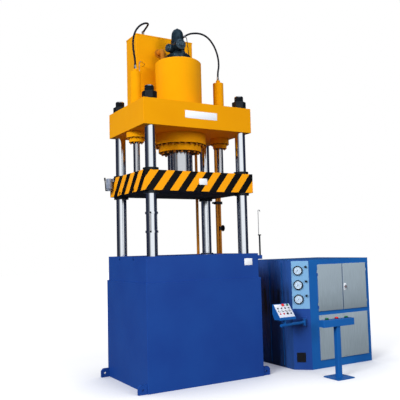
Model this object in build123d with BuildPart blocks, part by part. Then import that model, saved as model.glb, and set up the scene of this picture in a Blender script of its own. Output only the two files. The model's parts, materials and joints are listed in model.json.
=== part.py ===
"""Four-column hydraulic press with its power cabinet and its two-hand control pedestal.

Lengths are in millimetres, +Z is up and the operator stands at -Y. The origin is the centre
of the press's base on the floor. The cabinet stands at +X of the press.
"""

import os
from math import cos, hypot, pi, radians, sin, tan

from build123d import *

os.makedirs("parts", exist_ok=True)

# Frame of the press
base_width = 1920  # base stand, X
base_depth = 1450  # base stand, Y
base_height = 1475
base_wall = 25
base_plate = 30  # floor plate of the stand
base_flange = 70  # inner shelf under the bed
base_shelf = 40
window_width = 1100  # access window in the rear wall
window_height = 950
bed_width = base_width - 40
bed_depth = base_depth - 50
bed_height = 365
crown_width = base_width - 80
crown_depth = base_depth - 150
crown_height = 380
daylight = 1870  # bed to crown
edge_radius = 6
lug_reach = 130
lug_height = 130
lug_thickness = 40
lug_hole_diameter = 34
lug_bevel = 35
lug_inset = 20  # from the stand's front and rear faces

# Columns and nuts
column_diameter = 160
neck_diameter = 135
column_x = base_width / 2 - 185  # clears the stand's shelf and walls
column_y = base_depth / 2 - 180
nut_width = 190  # across flats
nut_height = 115
stud_reach = 85  # above the upper nut
fit = 0.05  # radial clearance of seats and guides

# T-slots and ejector in the bed
slot_throat = 28
slot_throat_depth = 30
slot_head = 50
slot_head_depth = 22
slot_pitch = 511  # between the bed's two slots, which run along X
ejector_rod_diameter = 120
ejector_gap = 3  # rod to bed bore
ejector_barrel = 290
ejector_length = 780
ejector_bore = 200
ejector_head = 80
ejector_sink = 4  # rod end below the table

# Slide and its guides
slide_width = base_width - 80
slide_depth = base_depth - 150
slide_height = 290
slide_gap = 930  # bed to slide at rest
slide_rise = 270
bush_wall = 15
bush_flange = 228
bush_collar = 38
slot_pitch_slide = 511  # between the two grooves in the slide's underside

# Main cylinder
cylinder_diameter = 732
cylinder_rise = 768  # straight barrel above the crown
shoulder_rise = 27
head_diameter = 672
cylinder_flange = 820
cylinder_flange_height = 165
gland_diameter = 672
gland_height = 110
ram_diameter = 390
ram_foot_diameter = 440
ram_foot_height = 55
cylinder_bore = 440
head_room = 30  # thickness of the cylinders' closed ends
stroke_margin = 30  # left over the ram and the pistons at the top

# Side cylinders
side_x = column_x - 30
side_diameter = 172
side_rise = 550
side_bore = 130
side_neck = 70
side_neck_rise = 48
side_flange = 300
side_flange_height = 90
side_gland = 225
side_gland_height = 70
rod_diameter = 100
piston_height = 70

# Cap screws round the glands
main_screw = 36
main_screw_head = 26
side_screw = 22
side_screw_head = 18

# Prefill valve, filling tank and lines
valve_flange_diameter = 400
valve_flange_height = 60
valve_collar = 142  # radius of the cone's foot on the flange
valve_radius = 112
valve_waist = 100
valve_height = 495
valve_nose = 46
valve_screw_head = 34
boss_x = -45
boss_rise = 245  # above the valve's foot
boss_radius = 84
boss_reach = 190
bulge_rise = 205
bulge_radius = 66
bulge_reach = 196
tank_x = -28
tank_width = 1034
tank_depth = 400
tank_height = 1325
tank_wall = 6
tank_front = 385  # front face, Y
elbow_diameter = 90
elbow_x = -150
elbow_height = 250  # above the cylinder's head
hose_diameter = 30
line_diameter = 12
drain_x = -607
drain_y = 150
drain_rise = 795  # above the crown
drain_port_x = -440
pilot_y = -30
pilot_drop = 118  # below the valve's top
fitting_height = 64

# Pipes behind the press
pipe_diameter = 50
pipe_y = base_depth / 2 + 25
return_pipe_x = 792
return_pipe_y = pipe_y + 120
return_port_x = 412
return_rise = 200  # above the crown
supply_pipe_x = 1125
supply_pitch = 58
port_height = 140  # above the crown's underside
low_pipe_z = 360
low_pipe_pitch = 110
wheel_height = 2280
wheel_diameter = 112
clamp_height = 2726

# Cabinet
cabinet_left = 1600
cabinet_front = -845
cabinet_width = 1500
cabinet_depth = 1250
cabinet_height = 1710
cabinet_wall = 4
bevel_x = 210
bevel_y = 190
door_width = 512
door_height = 740
door_bottom = 890
door_thickness = 18
door_gap = 20  # between the two doors
door_lap = 18
door_seat = 0.3
door_centre = 2502
lower_bottom = 130
lower_height = 697
lower_width = 1044
knuckle_radius = 7
knuckle_height = 45
hinge_offset = 8
pin_radius = 3.5
rib_count = 3
rib_pitch = 330
rib_size = 14
vent_width = 127
vent_height = 137
vent_bottom = 122
vent_slats = 6
sump_height = 600

# Motor and pump on the sump
motor_offset = 60  # from the cabinet's middle, Y
motor_rise = 245  # axis above the sump
motor_radius = 185
motor_length = 430
motor_flange = 30
motor_foot_width = 70
motor_foot_depth = 300
motor_foot_height = 90
fin_height = 22
fin_thickness = 6
bell_radius = 110
bell_length = 150
oil_pump_radius = 85
oil_pump_length = 170

# Gauges and their valves
panel_thickness = 3
panel_width = 270
panel_bottom = 945
panel_height = 750
gauge_diameter = 150
gauge_depth = 34
gauge_dial_depth = 9
gauge_rows = (1544, 1318, 1094)
gauge_along = 108
knob_along = 232
knob_rise = 57  # above each gauge's centre
knob_diameter = 36
knob_depth = 26
spindle_radius = 5
needle_zero = 135  # turned from upright, at no pressure

# Console on its swing arm
pivot_along = 180
pivot_height = 745
pivot_reach = 72
arm_diameter = 45
pivot_radius = 24
pivot_pin = 9
hub_height = 68
ear_height = 16
seat_gap = 0.3  # between a moving piece and what it rests on
console_x = 1245
console_y = -905
console_width = 300
console_tilt = 51
console_slope = 245
console_low = 868
console_floor = 832
console_back = 25
post_diameter = 42
button_columns = (-102, -34, 34, 102)
button_rows = (30, 80, 129, 178)  # down the slope
stop_x = 10  # from the panel's middle
small_button = 24
stop_button = 44
start_button = 30
collar = 4
stem_depth = 22

# Pedestal
pedestal_x = 1766
pedestal_y = -1470
plate_width = 320
plate_thickness = 15
post_size = 75
palm_box_length = 600
palm_box_depth = 120
palm_box_height = 100
pedestal_top = 848
palm_pitch = 191
palm_diameter = 52
palm_travel = 8
palm_cap = 16

# Small pieces
pump_diameter = 100
pump_height = 160
pump_y = slide_depth / 2 - 135
pump_gap = 15
lever_reach = 165
rail_angle = 235
rail_length = 280
rail_rise = 340  # above the bed
trip_x = bed_width / 2 + 45
trip_y = 10 - bed_depth / 2
trip_height = 270
trip_thin = 375

# Heights and edges worked out from the sizes above
bed_top = base_height + bed_height
crown_bottom = bed_top + daylight
crown_top = crown_bottom + crown_height
rail_bottom = bed_top + rail_rise
slide_bottom = bed_top + slide_gap
slide_top = slide_bottom + slide_height
nut_top = crown_top + nut_height
shoulder_z = crown_top + cylinder_rise
valve_base = shoulder_z + shoulder_rise
flange_bottom = crown_bottom - cylinder_flange_height
gland_bottom = flange_bottom - gland_height
side_flange_bottom = crown_bottom - side_flange_height
side_gland_bottom = side_flange_bottom - side_gland_height
side_top = crown_top + side_rise
side_neck_top = side_top + side_neck_rise
tank_top = crown_top + tank_height
tank_back = tank_front + tank_depth
cabinet_right = cabinet_left + cabinet_width
cabinet_back = cabinet_front + cabinet_depth
bevel_length = hypot(bevel_x, bevel_y)
bevel_plane = Plane(
    origin=(cabinet_left, cabinet_front + bevel_y, 0),
    x_dir=(bevel_x, -bevel_y, 0),
    z_dir=(-bevel_y, -bevel_x, 0),
)
column_places = [(x, y) for x in (-column_x, column_x) for y in (-column_y, column_y)]
side_places = [(-side_x, 0), (side_x, 0)]


def save(builder, name, color):
    """Label a finished piece and write it to its own file."""
    builder.part.label = name
    builder.part.color = Color(*color)
    export_step(builder.part, f"parts/{name}.step")


YELLOW = (0.95, 0.62, 0.02)
BLUE = (0.06, 0.2, 0.55)
STEEL = (0.75, 0.76, 0.78)
DARK = (0.08, 0.09, 0.1)

# Base stand: a welded box with a shelf for the bed, a rear window and four lifting lugs
with BuildPart() as base_stand:
    with BuildSketch():
        Rectangle(base_width, base_depth)
    extrude(amount=base_height)
    fillet(base_stand.edges().filter_by(Axis.Z), edge_radius)
    with BuildSketch(Plane.XY.offset(base_plate)):
        Rectangle(base_width - 2 * base_wall, base_depth - 2 * base_wall)
    extrude(amount=base_height - base_plate - base_shelf, mode=Mode.SUBTRACT)
    with BuildSketch(Plane.XY.offset(base_height - base_shelf)):
        Rectangle(base_width - 2 * base_flange, base_depth - 2 * base_flange)
    extrude(amount=base_shelf, mode=Mode.SUBTRACT)
    with BuildSketch(Plane.XZ.offset(-base_depth / 2 - 1)):
        with Locations((0, base_plate + 120 + window_height / 2)):
            RectangleRounded(window_width, window_height, 60)
    extrude(amount=base_wall + 2, mode=Mode.SUBTRACT)
    lug_y = base_depth / 2 - lug_inset - lug_thickness / 2
    for side in (-1, 1):
        for end in (-1, 1):
            outer = side * (base_width / 2 + lug_reach)
            inner = side * base_width / 2
            with BuildSketch(Plane.XZ.offset(-end * lug_y)):
                with BuildLine():
                    Polyline(
                        (inner, 0),
                        (outer, 0),
                        (outer, lug_height - lug_bevel),
                        (outer - side * lug_bevel, lug_height),
                        (inner, lug_height),
                        close=True,
                    )
                make_face()
                with Locations((side * (base_width / 2 + lug_reach * 0.52), lug_height * 0.46)):
                    Circle(lug_hole_diameter / 2, mode=Mode.SUBTRACT)
            extrude(amount=lug_thickness / 2, both=True)
save(base_stand, "base_stand", BLUE)

# Bed: the thick table with two T-slots, four column bores and the ejector bore
with BuildPart() as bed:
    with BuildSketch(Plane.XY.offset(base_height)):
        Rectangle(bed_width, bed_depth)
    extrude(amount=bed_height)
    fillet(bed.edges().filter_by(Axis.Z), edge_radius)
    with Locations(*[(x, y, bed_top) for x, y in column_places]):
        Hole(neck_diameter / 2 + fit)
    with Locations((0, 0, bed_top)):
        Hole(ejector_rod_diameter / 2 + ejector_gap)
    slot_places = [(y, bed_top) for y in (-slot_pitch / 2, slot_pitch / 2)]
    with BuildSketch(Plane.YZ.offset(-bed_width / 2)):
        with Locations(*slot_places):
            Rectangle(slot_throat, slot_throat_depth, align=(Align.CENTER, Align.MAX))
        with Locations(*[(y, z - slot_throat_depth) for y, z in slot_places]):
            Rectangle(slot_head, slot_head_depth, align=(Align.CENTER, Align.MAX))
    extrude(amount=bed_width, mode=Mode.SUBTRACT)
save(bed, "bed", BLUE)

# Columns: ground shafts with a neck through the bed and the crown, threaded for the nuts
column_foot = base_height - nut_height - 25
with BuildPart() as columns:
    with BuildSketch(Plane.XY.offset(bed_top)):
        with Locations(*column_places):
            Circle(column_diameter / 2)
    extrude(amount=daylight)
    with BuildSketch(Plane.XY.offset(column_foot)):
        with Locations(*column_places):
            Circle(neck_diameter / 2)
    extrude(amount=nut_top + stud_reach - column_foot)
    chamfer(columns.faces().filter_by(Axis.Z).group_by(Axis.Z)[-1].edges(), 6)
save(columns, "columns", STEEL)

# Column nuts: heavy hexagon nuts over the crown and under the bed
with BuildPart() as column_nuts:
    for height in (base_height - nut_height, crown_top):
        with BuildSketch(Plane.XY.offset(height)):
            with Locations(*column_places):
                RegularPolygon(nut_width / 2, 6, major_radius=False, rotation=30)
                Circle(neck_diameter / 2 + fit, mode=Mode.SUBTRACT)
        extrude(amount=nut_height)
    chamfer(column_nuts.faces().filter_by(Axis.Z).edges().filter_by(GeomType.LINE), 7)
save(column_nuts, "column_nuts", DARK)

# Crown: the upper beam that carries the cylinders
with BuildPart() as crown:
    with BuildSketch(Plane.XY.offset(crown_bottom)):
        Rectangle(crown_width, crown_depth)
    extrude(amount=crown_height)
    fillet(crown.edges().filter_by(Axis.Z), edge_radius)
    with Locations(*[(x, y, crown_top) for x, y in column_places]):
        Hole(neck_diameter / 2 + fit)
    with Locations(*[(x, y, crown_top) for x, y in side_places]):
        Hole(side_diameter / 2 + fit)
    with Locations((0, 0, crown_top)):
        Hole(cylinder_diameter / 2 + fit)
save(crown, "crown", YELLOW)

# Main cylinder: the barrel hangs by its flange under the crown
with BuildPart() as main_cylinder:
    with BuildSketch(Plane.XZ):
        with BuildLine():
            Polyline(
                (ram_diameter / 2 + fit, flange_bottom),
                (cylinder_flange / 2, flange_bottom),
                (cylinder_flange / 2, crown_bottom),
                (cylinder_diameter / 2, crown_bottom),
                (cylinder_diameter / 2, shoulder_z),
                (head_diameter / 2, valve_base),
                (0, valve_base),
                (0, shoulder_z - head_room),
                (cylinder_bore / 2, shoulder_z - head_room),
                (cylinder_bore / 2, crown_bottom),
                (ram_diameter / 2 + fit, crown_bottom),
                close=True,
            )
        make_face()
    revolve(axis=Axis.Z)
    fillet(main_cylinder.edges().filter_by_position(Axis.Z, shoulder_z - 1, shoulder_z + 1), 14)
save(main_cylinder, "main_cylinder", YELLOW)

# Main gland: the packing ring that is screwed to the cylinder's flange
with BuildPart() as main_gland:
    with BuildSketch(Plane.XY.offset(gland_bottom)):
        Circle(gland_diameter / 2)
        Circle(ram_diameter / 2 + fit, mode=Mode.SUBTRACT)
    extrude(amount=gland_height)
    chamfer(main_gland.faces().sort_by(Axis.Z)[0].edges(), 4)
save(main_gland, "main_gland", YELLOW)

# Side cylinders: barrels through the crown, with a flange below and a port neck on top
with BuildPart() as side_cylinders:
    for place in side_places:
        with BuildSketch(Plane.XZ.move(Location((place[0], 0, 0)))):
            with BuildLine():
                Polyline(
                    (rod_diameter / 2 + fit, side_flange_bottom),
                    (side_flange / 2, side_flange_bottom),
                    (side_flange / 2, crown_bottom),
                    (side_diameter / 2, crown_bottom),
                    (side_diameter / 2, side_top),
                    (side_neck / 2, side_top),
                    (side_neck / 2, side_neck_top),
                    (0, side_neck_top),
                    (0, side_top - head_room),
                    (side_bore / 2, side_top - head_room),
                    (side_bore / 2, crown_bottom),
                    (rod_diameter / 2 + fit, crown_bottom),
                    close=True,
                )
            make_face()
        revolve(axis=Axis((place[0], 0, 0), (0, 0, 1)))
save(side_cylinders, "side_cylinders", YELLOW)

# Side glands: packing rings under the side cylinders
with BuildPart() as side_glands:
    with BuildSketch(Plane.XY.offset(side_gland_bottom)):
        with Locations(*side_places):
            Circle(side_gland / 2)
            Circle(rod_diameter / 2 + fit, mode=Mode.SUBTRACT)
    extrude(amount=side_gland_height)
    chamfer(side_glands.faces().group_by(Axis.Z)[0].edges().filter_by(GeomType.CIRCLE), 3)
save(side_glands, "side_glands", YELLOW)

# Cap screws: heads under the flanges and the glands, and round the prefill valve
flange_ring = (cylinder_flange + gland_diameter) / 4
gland_ring = (gland_diameter + ram_diameter) / 4 + 22
side_flange_ring = (side_flange + side_gland) / 4
side_gland_ring = (side_gland + rod_diameter) / 4 + 8
with BuildPart() as cap_screws:
    screw_rings = (
        ((0, 0), flange_ring, flange_bottom, main_screw, main_screw_head, 24),
        ((0, 0), gland_ring, gland_bottom, main_screw, main_screw_head, 16),
        (side_places[0], side_flange_ring, side_flange_bottom, side_screw, side_screw_head, 12),
        (side_places[1], side_flange_ring, side_flange_bottom, side_screw, side_screw_head, 12),
        (side_places[0], side_gland_ring, side_gland_bottom, side_screw, side_screw_head, 8),
        (side_places[1], side_gland_ring, side_gland_bottom, side_screw, side_screw_head, 8),
    )
    for centre, radius, height, width, head, count in screw_rings:
        with BuildSketch(Plane.XY.offset(height)):
            with Locations(centre):
                with PolarLocations(radius, count):
                    RegularPolygon(width / 2, 6)
        extrude(amount=-head)
    valve_screw_z = valve_base + valve_flange_height
    with BuildSketch(Plane.XY.offset(valve_screw_z)):
        with PolarLocations(valve_flange_diameter / 2 - 26, 8, start_angle=22.5):
            Circle(16)
    extrude(amount=valve_screw_head)
save(cap_screws, "cap_screws", DARK)

# Prefill valve: a cast body that narrows to a rounded nose, with a front boss and a side bulge
with BuildPart() as prefill_valve:
    valve_top = valve_base + valve_flange_height + valve_height
    with BuildSketch(Plane.XZ):
        with BuildLine():
            start = Line((0, valve_base), (valve_flange_diameter / 2, valve_base))
            rim = Line(start @ 1, (valve_flange_diameter / 2, valve_base + valve_flange_height))
            shelf = Line(rim @ 1, (valve_collar, valve_base + valve_flange_height))
            cone = Line(shelf @ 1, (valve_radius, valve_base + 0.3 * valve_height))
            wall = Line(cone @ 1, (valve_radius, valve_base + 0.66 * valve_height))
            taper = Line(wall @ 1, (valve_waist, valve_base + 0.76 * valve_height))
            upper = Line(taper @ 1, (valve_waist - 6, valve_top - 0.2 * valve_height))
            nose = Spline(
                upper @ 1,
                (0.78 * valve_waist, valve_top - 0.09 * valve_height),
                (valve_nose, valve_top - 12),
                tangents=((-0.1, 1), (-1, 0.4)),
            )
            cap = Line(nose @ 1, (valve_nose * 0.5, valve_top))
            lid = Line(cap @ 1, (0, valve_top))
            Line(lid @ 1, (0, valve_base))
        make_face()
    revolve(axis=Axis.Z)
    with BuildSketch(Plane.XZ.offset(boss_reach)):
        with Locations((boss_x, valve_base + boss_rise)):
            Circle(boss_radius)
    extrude(amount=-boss_reach)
    bulge_plane = Plane(origin=(0, 0, valve_base + bulge_rise), z_dir=(-1, -0.25, 0))
    with BuildSketch(bulge_plane.offset(bulge_reach)):
        Circle(bulge_radius)
    extrude(amount=-bulge_reach)
    fillet(prefill_valve.edges().filter_by_position(Axis.Y, -boss_reach - 1, -boss_reach + 1), 10)
save(prefill_valve, "prefill_valve", DARK)

# Filling tank: a tall sheet-steel oil tank behind the main cylinder
with BuildPart() as filling_tank:
    with BuildSketch(Plane.XY.offset(crown_top)):
        with Locations((tank_x, tank_front + tank_depth / 2)):
            RectangleRounded(tank_width, tank_depth, 10)
    extrude(amount=tank_height)
    with BuildSketch(Plane.XY.offset(crown_top + tank_wall)):
        with Locations((tank_x, tank_front + tank_depth / 2)):
            Rectangle(tank_width - 2 * tank_wall, tank_depth - 2 * tank_wall)
    extrude(amount=tank_height - 2 * tank_wall, mode=Mode.SUBTRACT)
save(filling_tank, "filling_tank", YELLOW)

# Suction elbow: from the tank's front face forward and down on the cylinder's shoulder
elbow_z = valve_base + elbow_height
elbow_y = valve_flange_diameter / 2 + 25
with BuildPart() as suction_elbow:
    with BuildLine():
        elbow_path = FilletPolyline(
            (elbow_x, tank_front, elbow_z),
            (elbow_x, elbow_y, elbow_z),
            (elbow_x, elbow_y, shoulder_z),
            radius=70,
        )
    with BuildSketch(Plane(origin=elbow_path @ 0, z_dir=elbow_path % 0)):
        Circle(elbow_diameter / 2)
    sweep()
    with BuildSketch(Plane.XZ.offset(-tank_front)):
        with Locations((elbow_x, elbow_z)):
            Circle(elbow_diameter / 2 + 26)
    extrude(amount=14)
    add(main_cylinder.part, mode=Mode.SUBTRACT)
save(suction_elbow, "suction_elbow", YELLOW)


def tube(route, diameter, bends):
    """A round pipe along straight runs joined by arcs."""
    with BuildPart() as piece:
        with BuildLine():
            path = FilletPolyline(*route, radius=bends)
        with BuildSketch(Plane(origin=path @ 0, z_dir=path % 0)):
            Circle(diameter / 2)
        sweep()
    return piece.part, path


def hose_bends(route):
    """Each arc takes 0.45 of its shorter run."""
    corners = [Vector(*point) for point in route]
    radii = []
    for before, corner, after in zip(corners, corners[1:], corners[2:]):
        turn = (corner - before).get_angle(after - corner)
        shorter = min((corner - before).length, (after - corner).length)
        radii.append(0.45 * shorter / tan(radians(turn / 2)))
    return radii


# Hoses: free-standing pressure hoses to the two side cylinders
hose_seat = side_neck_top + fitting_height
tank_port = Vector(-387, tank_front + 45, tank_top + 75)
valve_port = Vector(valve_waist + 42, 0, valve_top - 88)
# Each row is a share of the span in X, a share of the reach in Y and a share of the climb
left_hose_shape = (
    (1.0, 0.0, 0.0),
    (1.0, 0.0, 0.1192),
    (1.0559, 0.0, 0.2683),
    (1.0922, 0.0, 0.4444),
    (1.0475, 0.0093, 0.6138),
    (0.9190, 0.0326, 0.7629),
    (0.7067, 0.0791, 0.8848),
    (0.4413, 0.1628, 0.9729),
    (0.1899, 0.3256, 1.0271),
    (0.0223, 0.5581, 1.0610),
    (-0.0335, 0.8023, 1.0542),
    (0.0, 1.0, 1.0),
)
left_span = -side_x - tank_port.X
left_climb = tank_port.Z - hose_seat
left_hose_route = [
    (tank_port.X + share_x * left_span, share_y * tank_port.Y, hose_seat + climb * left_climb)
    for share_x, share_y, climb in left_hose_shape
]
right_hose_shape = (
    (0.0, 1.0),
    (0.0962, 1.0667),
    (0.2454, 1.1167),
    (0.4279, 1.1467),
    (0.6103, 1.1217),
    (0.7678, 1.03),
    (0.9005, 0.8717),
    (0.9917, 0.68),
    (1.0381, 0.4717),
    (1.0381, 0.2717),
    (1.0, 0.1217),
    (1.0, 0.0),
)
right_span = side_x - valve_port.X
right_climb = valve_port.Z - hose_seat
right_hose_route = [
    (valve_port.X + share * right_span, 0, hose_seat + climb * right_climb)
    for share, climb in right_hose_shape
]
for hose_name, hose_route in (("hose_left", left_hose_route), ("hose_right", right_hose_route)):
    hose_radii = hose_bends(hose_route)
    hose_part, hose_path = tube(hose_route, hose_diameter, hose_radii)
    hose_part.label = hose_name
    hose_part.color = Color(*DARK)
    export_step(hose_part, f"parts/{hose_name}.step")
    section = pi * hose_diameter**2 / 4
    print(hose_name, "length", round(hose_path.length, 1), "radii", [round(r) for r in hose_radii])
    fill = hose_part.volume / section / hose_path.length
    print(hose_name, "volume over section times length", round(fill, 4))

# Hose fittings: swivel ends on both side cylinders, on the tank and on the valve
with BuildPart() as hose_fittings:
    for x, y in side_places:
        with BuildSketch(Plane.XY.offset(side_neck_top)):
            with Locations((x, y)):
                RegularPolygon(24, 6)
        extrude(amount=26)
        with BuildSketch(Plane.XY.offset(side_neck_top + 26)):
            with Locations((x, y)):
                Circle(hose_diameter / 2 + 3)
        extrude(amount=fitting_height - 26)
    tank_end = Vector(*left_hose_route[-1])
    tank_end_way = (tank_end - Vector(*left_hose_route[-2])).normalized()
    with BuildSketch(Plane(origin=tank_end, z_dir=tank_end_way)):
        Circle(hose_diameter / 2 + 3)
    extrude(amount=40)
    elbow_foot = tank_end + tank_end_way * 30
    with BuildSketch(Plane.XY.offset(tank_top)):
        with Locations((elbow_foot.X, elbow_foot.Y)):
            RegularPolygon(24, 6)
    extrude(amount=elbow_foot.Z - tank_top + 12)
    valve_end = Vector(*right_hose_route[0])
    valve_end_way = (valve_end - Vector(*right_hose_route[1])).normalized()
    with BuildSketch(Plane(origin=valve_end, z_dir=valve_end_way)):
        Circle(hose_diameter / 2 + 3)
    extrude(amount=valve_end.X - valve_waist + 30)
    add(prefill_valve.part, mode=Mode.SUBTRACT)
save(hose_fittings, "hose_fittings", STEEL)

# Small lines: a drain line from the crown to the tank and the valve's pilot line
with BuildPart() as small_lines:
    drain_route = (
        (drain_x, drain_y, crown_top),
        (drain_x, drain_y, crown_top + drain_rise),
        (drain_port_x, tank_front - 95, crown_top + drain_rise),
        (drain_port_x, tank_front, crown_top + drain_rise),
    )
    add(tube(drain_route, line_diameter, 60)[0])
    pilot_x = valve_flange_diameter / 2 - 15
    pilot_z = valve_top - pilot_drop
    pilot_route = (
        (valve_waist - 24, pilot_y, pilot_z),
        (valve_waist + 50, pilot_y, pilot_z),
        (pilot_x, pilot_y, valve_base + 0.35 * valve_height),
        (pilot_x, pilot_y, valve_base + valve_flange_height - 6),
    )
    add(tube(pilot_route, line_diameter, 24)[0])
    add(prefill_valve.part, mode=Mode.SUBTRACT)
save(small_lines, "small_lines", DARK)

# Oil pipes: the return pipe and the twin supply pipes behind the press
with BuildPart() as oil_pipes:
    low_y = cabinet_back - 90
    port_z = crown_bottom + port_height
    low_return_z = low_pipe_z - low_pipe_pitch
    return_low_x = supply_pipe_x + 5 * supply_pitch
    return_route = (
        (return_port_x, tank_back, crown_top + return_rise),
        (return_port_x, return_pipe_y, crown_top + return_rise),
        (return_pipe_x, return_pipe_y, crown_top + return_rise),
        (return_pipe_x, return_pipe_y, low_return_z),
        (return_low_x, return_pipe_y, low_return_z),
        (return_low_x, low_y, low_return_z),
        (cabinet_left, low_y, low_return_z),
    )
    add(tube(return_route, pipe_diameter, 40)[0])
    for i in range(2):
        x = supply_pipe_x + i * supply_pitch
        z = low_pipe_z + i * low_pipe_pitch
        supply_route = (
            (450 + 150 * i, crown_depth / 2, port_z + i * 90),
            (450 + 150 * i, pipe_y, port_z + i * 90),
            (x, pipe_y, port_z + i * 90),
            (x, pipe_y, z),
            (x + 3 * supply_pitch, pipe_y, z),
            (x + 3 * supply_pitch, low_y, z),
            (cabinet_left, low_y, z),
        )
        add(tube(supply_route, pipe_diameter, 48)[0])
save(oil_pipes, "oil_pipes", YELLOW)

# Pipe fittings: port flanges, the twin clamp and the body of the shut-off valve
with BuildPart() as pipe_fittings:
    for i in range(2):
        with BuildSketch(Plane.XZ.offset(-crown_depth / 2)):
            with Locations((450 + 150 * i, port_z + i * 90)):
                Circle(56)
                Circle(pipe_diameter / 2 + fit, mode=Mode.SUBTRACT)
        extrude(amount=-24)
    with BuildSketch(Plane.XY.offset(clamp_height - 24)):
        with Locations((supply_pipe_x + supply_pitch / 2, pipe_y)):
            Rectangle(supply_pitch + pipe_diameter + 26, 74)
        with Locations((supply_pipe_x, pipe_y), (supply_pipe_x + supply_pitch, pipe_y)):
            Circle(pipe_diameter / 2 + fit, mode=Mode.SUBTRACT)
    extrude(amount=48)
    clamp_left = supply_pipe_x - pipe_diameter / 2 - 13
    with BuildSketch(Plane.YZ.offset(clamp_left)):
        with Locations((pipe_y, clamp_height)):
            Circle(10)
    extrude(amount=-26)
    with BuildSketch(Plane.YZ.offset(clamp_left - 26)):
        with Locations((pipe_y, clamp_height)):
            Circle(19)
    extrude(amount=-22)
    valve_x = supply_pipe_x + supply_pitch
    with BuildSketch(Plane.XY.offset(wheel_height - 34)):
        with Locations((valve_x, pipe_y)):
            Circle(supply_pitch - pipe_diameter / 2 - 2)
            Circle(pipe_diameter / 2 + fit, mode=Mode.SUBTRACT)
    extrude(amount=68)
    with BuildSketch(Plane.YZ.offset(valve_x + 29)):
        with Locations((pipe_y, wheel_height)):
            Circle(13)
    extrude(amount=14)
    with BuildSketch(Plane.YZ.offset(valve_x + 29)):
        with Locations((pipe_y, wheel_height)):
            Circle(6)
    extrude(amount=42)
save(pipe_fittings, "pipe_fittings", DARK)

# Handwheel of the shut-off valve, on its spindle
with BuildPart() as handwheel:
    wheel_plane = Plane.YZ.offset(valve_x + 48)
    with BuildSketch(wheel_plane):
        with Locations((pipe_y, wheel_height)):
            Circle(wheel_diameter / 2)
            Circle(6 + fit, mode=Mode.SUBTRACT)
    extrude(amount=18)
    with BuildSketch(wheel_plane.offset(6)):
        with Locations((pipe_y, wheel_height)):
            with PolarLocations(wheel_diameter / 3.4, 4):
                Circle(12)
    extrude(amount=12, mode=Mode.SUBTRACT)
    fillet(handwheel.edges().filter_by(GeomType.CIRCLE).group_by(SortBy.RADIUS)[-1], 6)
save(handwheel, "handwheel", DARK)

# Slide: the moving beam, with bores for its bushes and two grooves for the upper tool
with BuildPart() as slide:
    with BuildSketch(Plane.XY.offset(slide_bottom)):
        Rectangle(slide_width, slide_depth)
    extrude(amount=slide_height)
    fillet(slide.edges().filter_by(Axis.Z), edge_radius)
    with Locations(*[(x, y, slide_top) for x, y in column_places]):
        Hole(column_diameter / 2 + bush_wall + 2 * fit)
    groove_places = [(y, slide_bottom) for y in (-slot_pitch_slide / 2, slot_pitch_slide / 2)]
    with BuildSketch(Plane.YZ.offset(-slide_width / 2)):
        with Locations(*groove_places):
            Rectangle(slot_throat, slot_throat_depth, align=(Align.CENTER, Align.MIN))
        with Locations(*[(y, z + slot_throat_depth) for y, z in groove_places]):
            Rectangle(slot_head, slot_head_depth, align=(Align.CENTER, Align.MIN))
    extrude(amount=slide_width, mode=Mode.SUBTRACT)
save(slide, "slide", YELLOW)

# Guide bushes: flanged sleeves in the slide, above and below, running on the columns
with BuildPart() as guide_bushes:
    sleeve_outer = column_diameter / 2 + bush_wall
    for seat, way in ((slide_top, 1), (slide_bottom, -1)):
        with BuildSketch(Plane.XY.offset(seat)):
            with Locations(*column_places):
                Circle(bush_flange / 2)
        extrude(amount=way * bush_collar)
        with BuildSketch(Plane.XY.offset(seat)):
            with Locations(*column_places):
                Circle(sleeve_outer)
        extrude(amount=-way * slide_height / 3)
    with Locations(*[(x, y, slide_top + bush_collar) for x, y in column_places]):
        Hole(column_diameter / 2 + fit)
save(guide_bushes, "guide_bushes", DARK)

# Ram: the plunger of the main cylinder, with its foot on the slide
ram_top = shoulder_z - head_room - stroke_margin - slide_rise
with BuildPart() as ram:
    with BuildSketch(Plane.XY.offset(slide_top)):
        Circle(ram_foot_diameter / 2)
    extrude(amount=ram_foot_height)
    with BuildSketch(Plane.XY.offset(slide_top + ram_foot_height)):
        Circle(ram_diameter / 2)
    extrude(amount=ram_top - slide_top - ram_foot_height)
    chamfer(ram.faces().sort_by(Axis.Z)[-1].edges(), 12)
    with BuildSketch(Plane.XY.offset(slide_top + ram_foot_height)):
        with PolarLocations((ram_foot_diameter + ram_diameter) / 4, 12):
            Circle(8)
    extrude(amount=-18, mode=Mode.SUBTRACT)
save(ram, "ram", STEEL)

# Side rods: each has a piston that runs in its barrel and a foot on the slide
rod_top = side_top - head_room - stroke_margin - slide_rise
with BuildPart() as side_rods:
    with BuildSketch(Plane.XY.offset(slide_top)):
        with Locations(*side_places):
            Circle(rod_diameter / 2)
    extrude(amount=rod_top - slide_top)
    with BuildSketch(Plane.XY.offset(rod_top - piston_height)):
        with Locations(*side_places):
            Circle(side_bore / 2 - fit)
    extrude(amount=piston_height)
    with BuildSketch(Plane.XY.offset(slide_top)):
        with Locations(*side_places):
            Circle(rod_diameter / 2 + 26)
    extrude(amount=30)
save(side_rods, "side_rods", STEEL)

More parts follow.
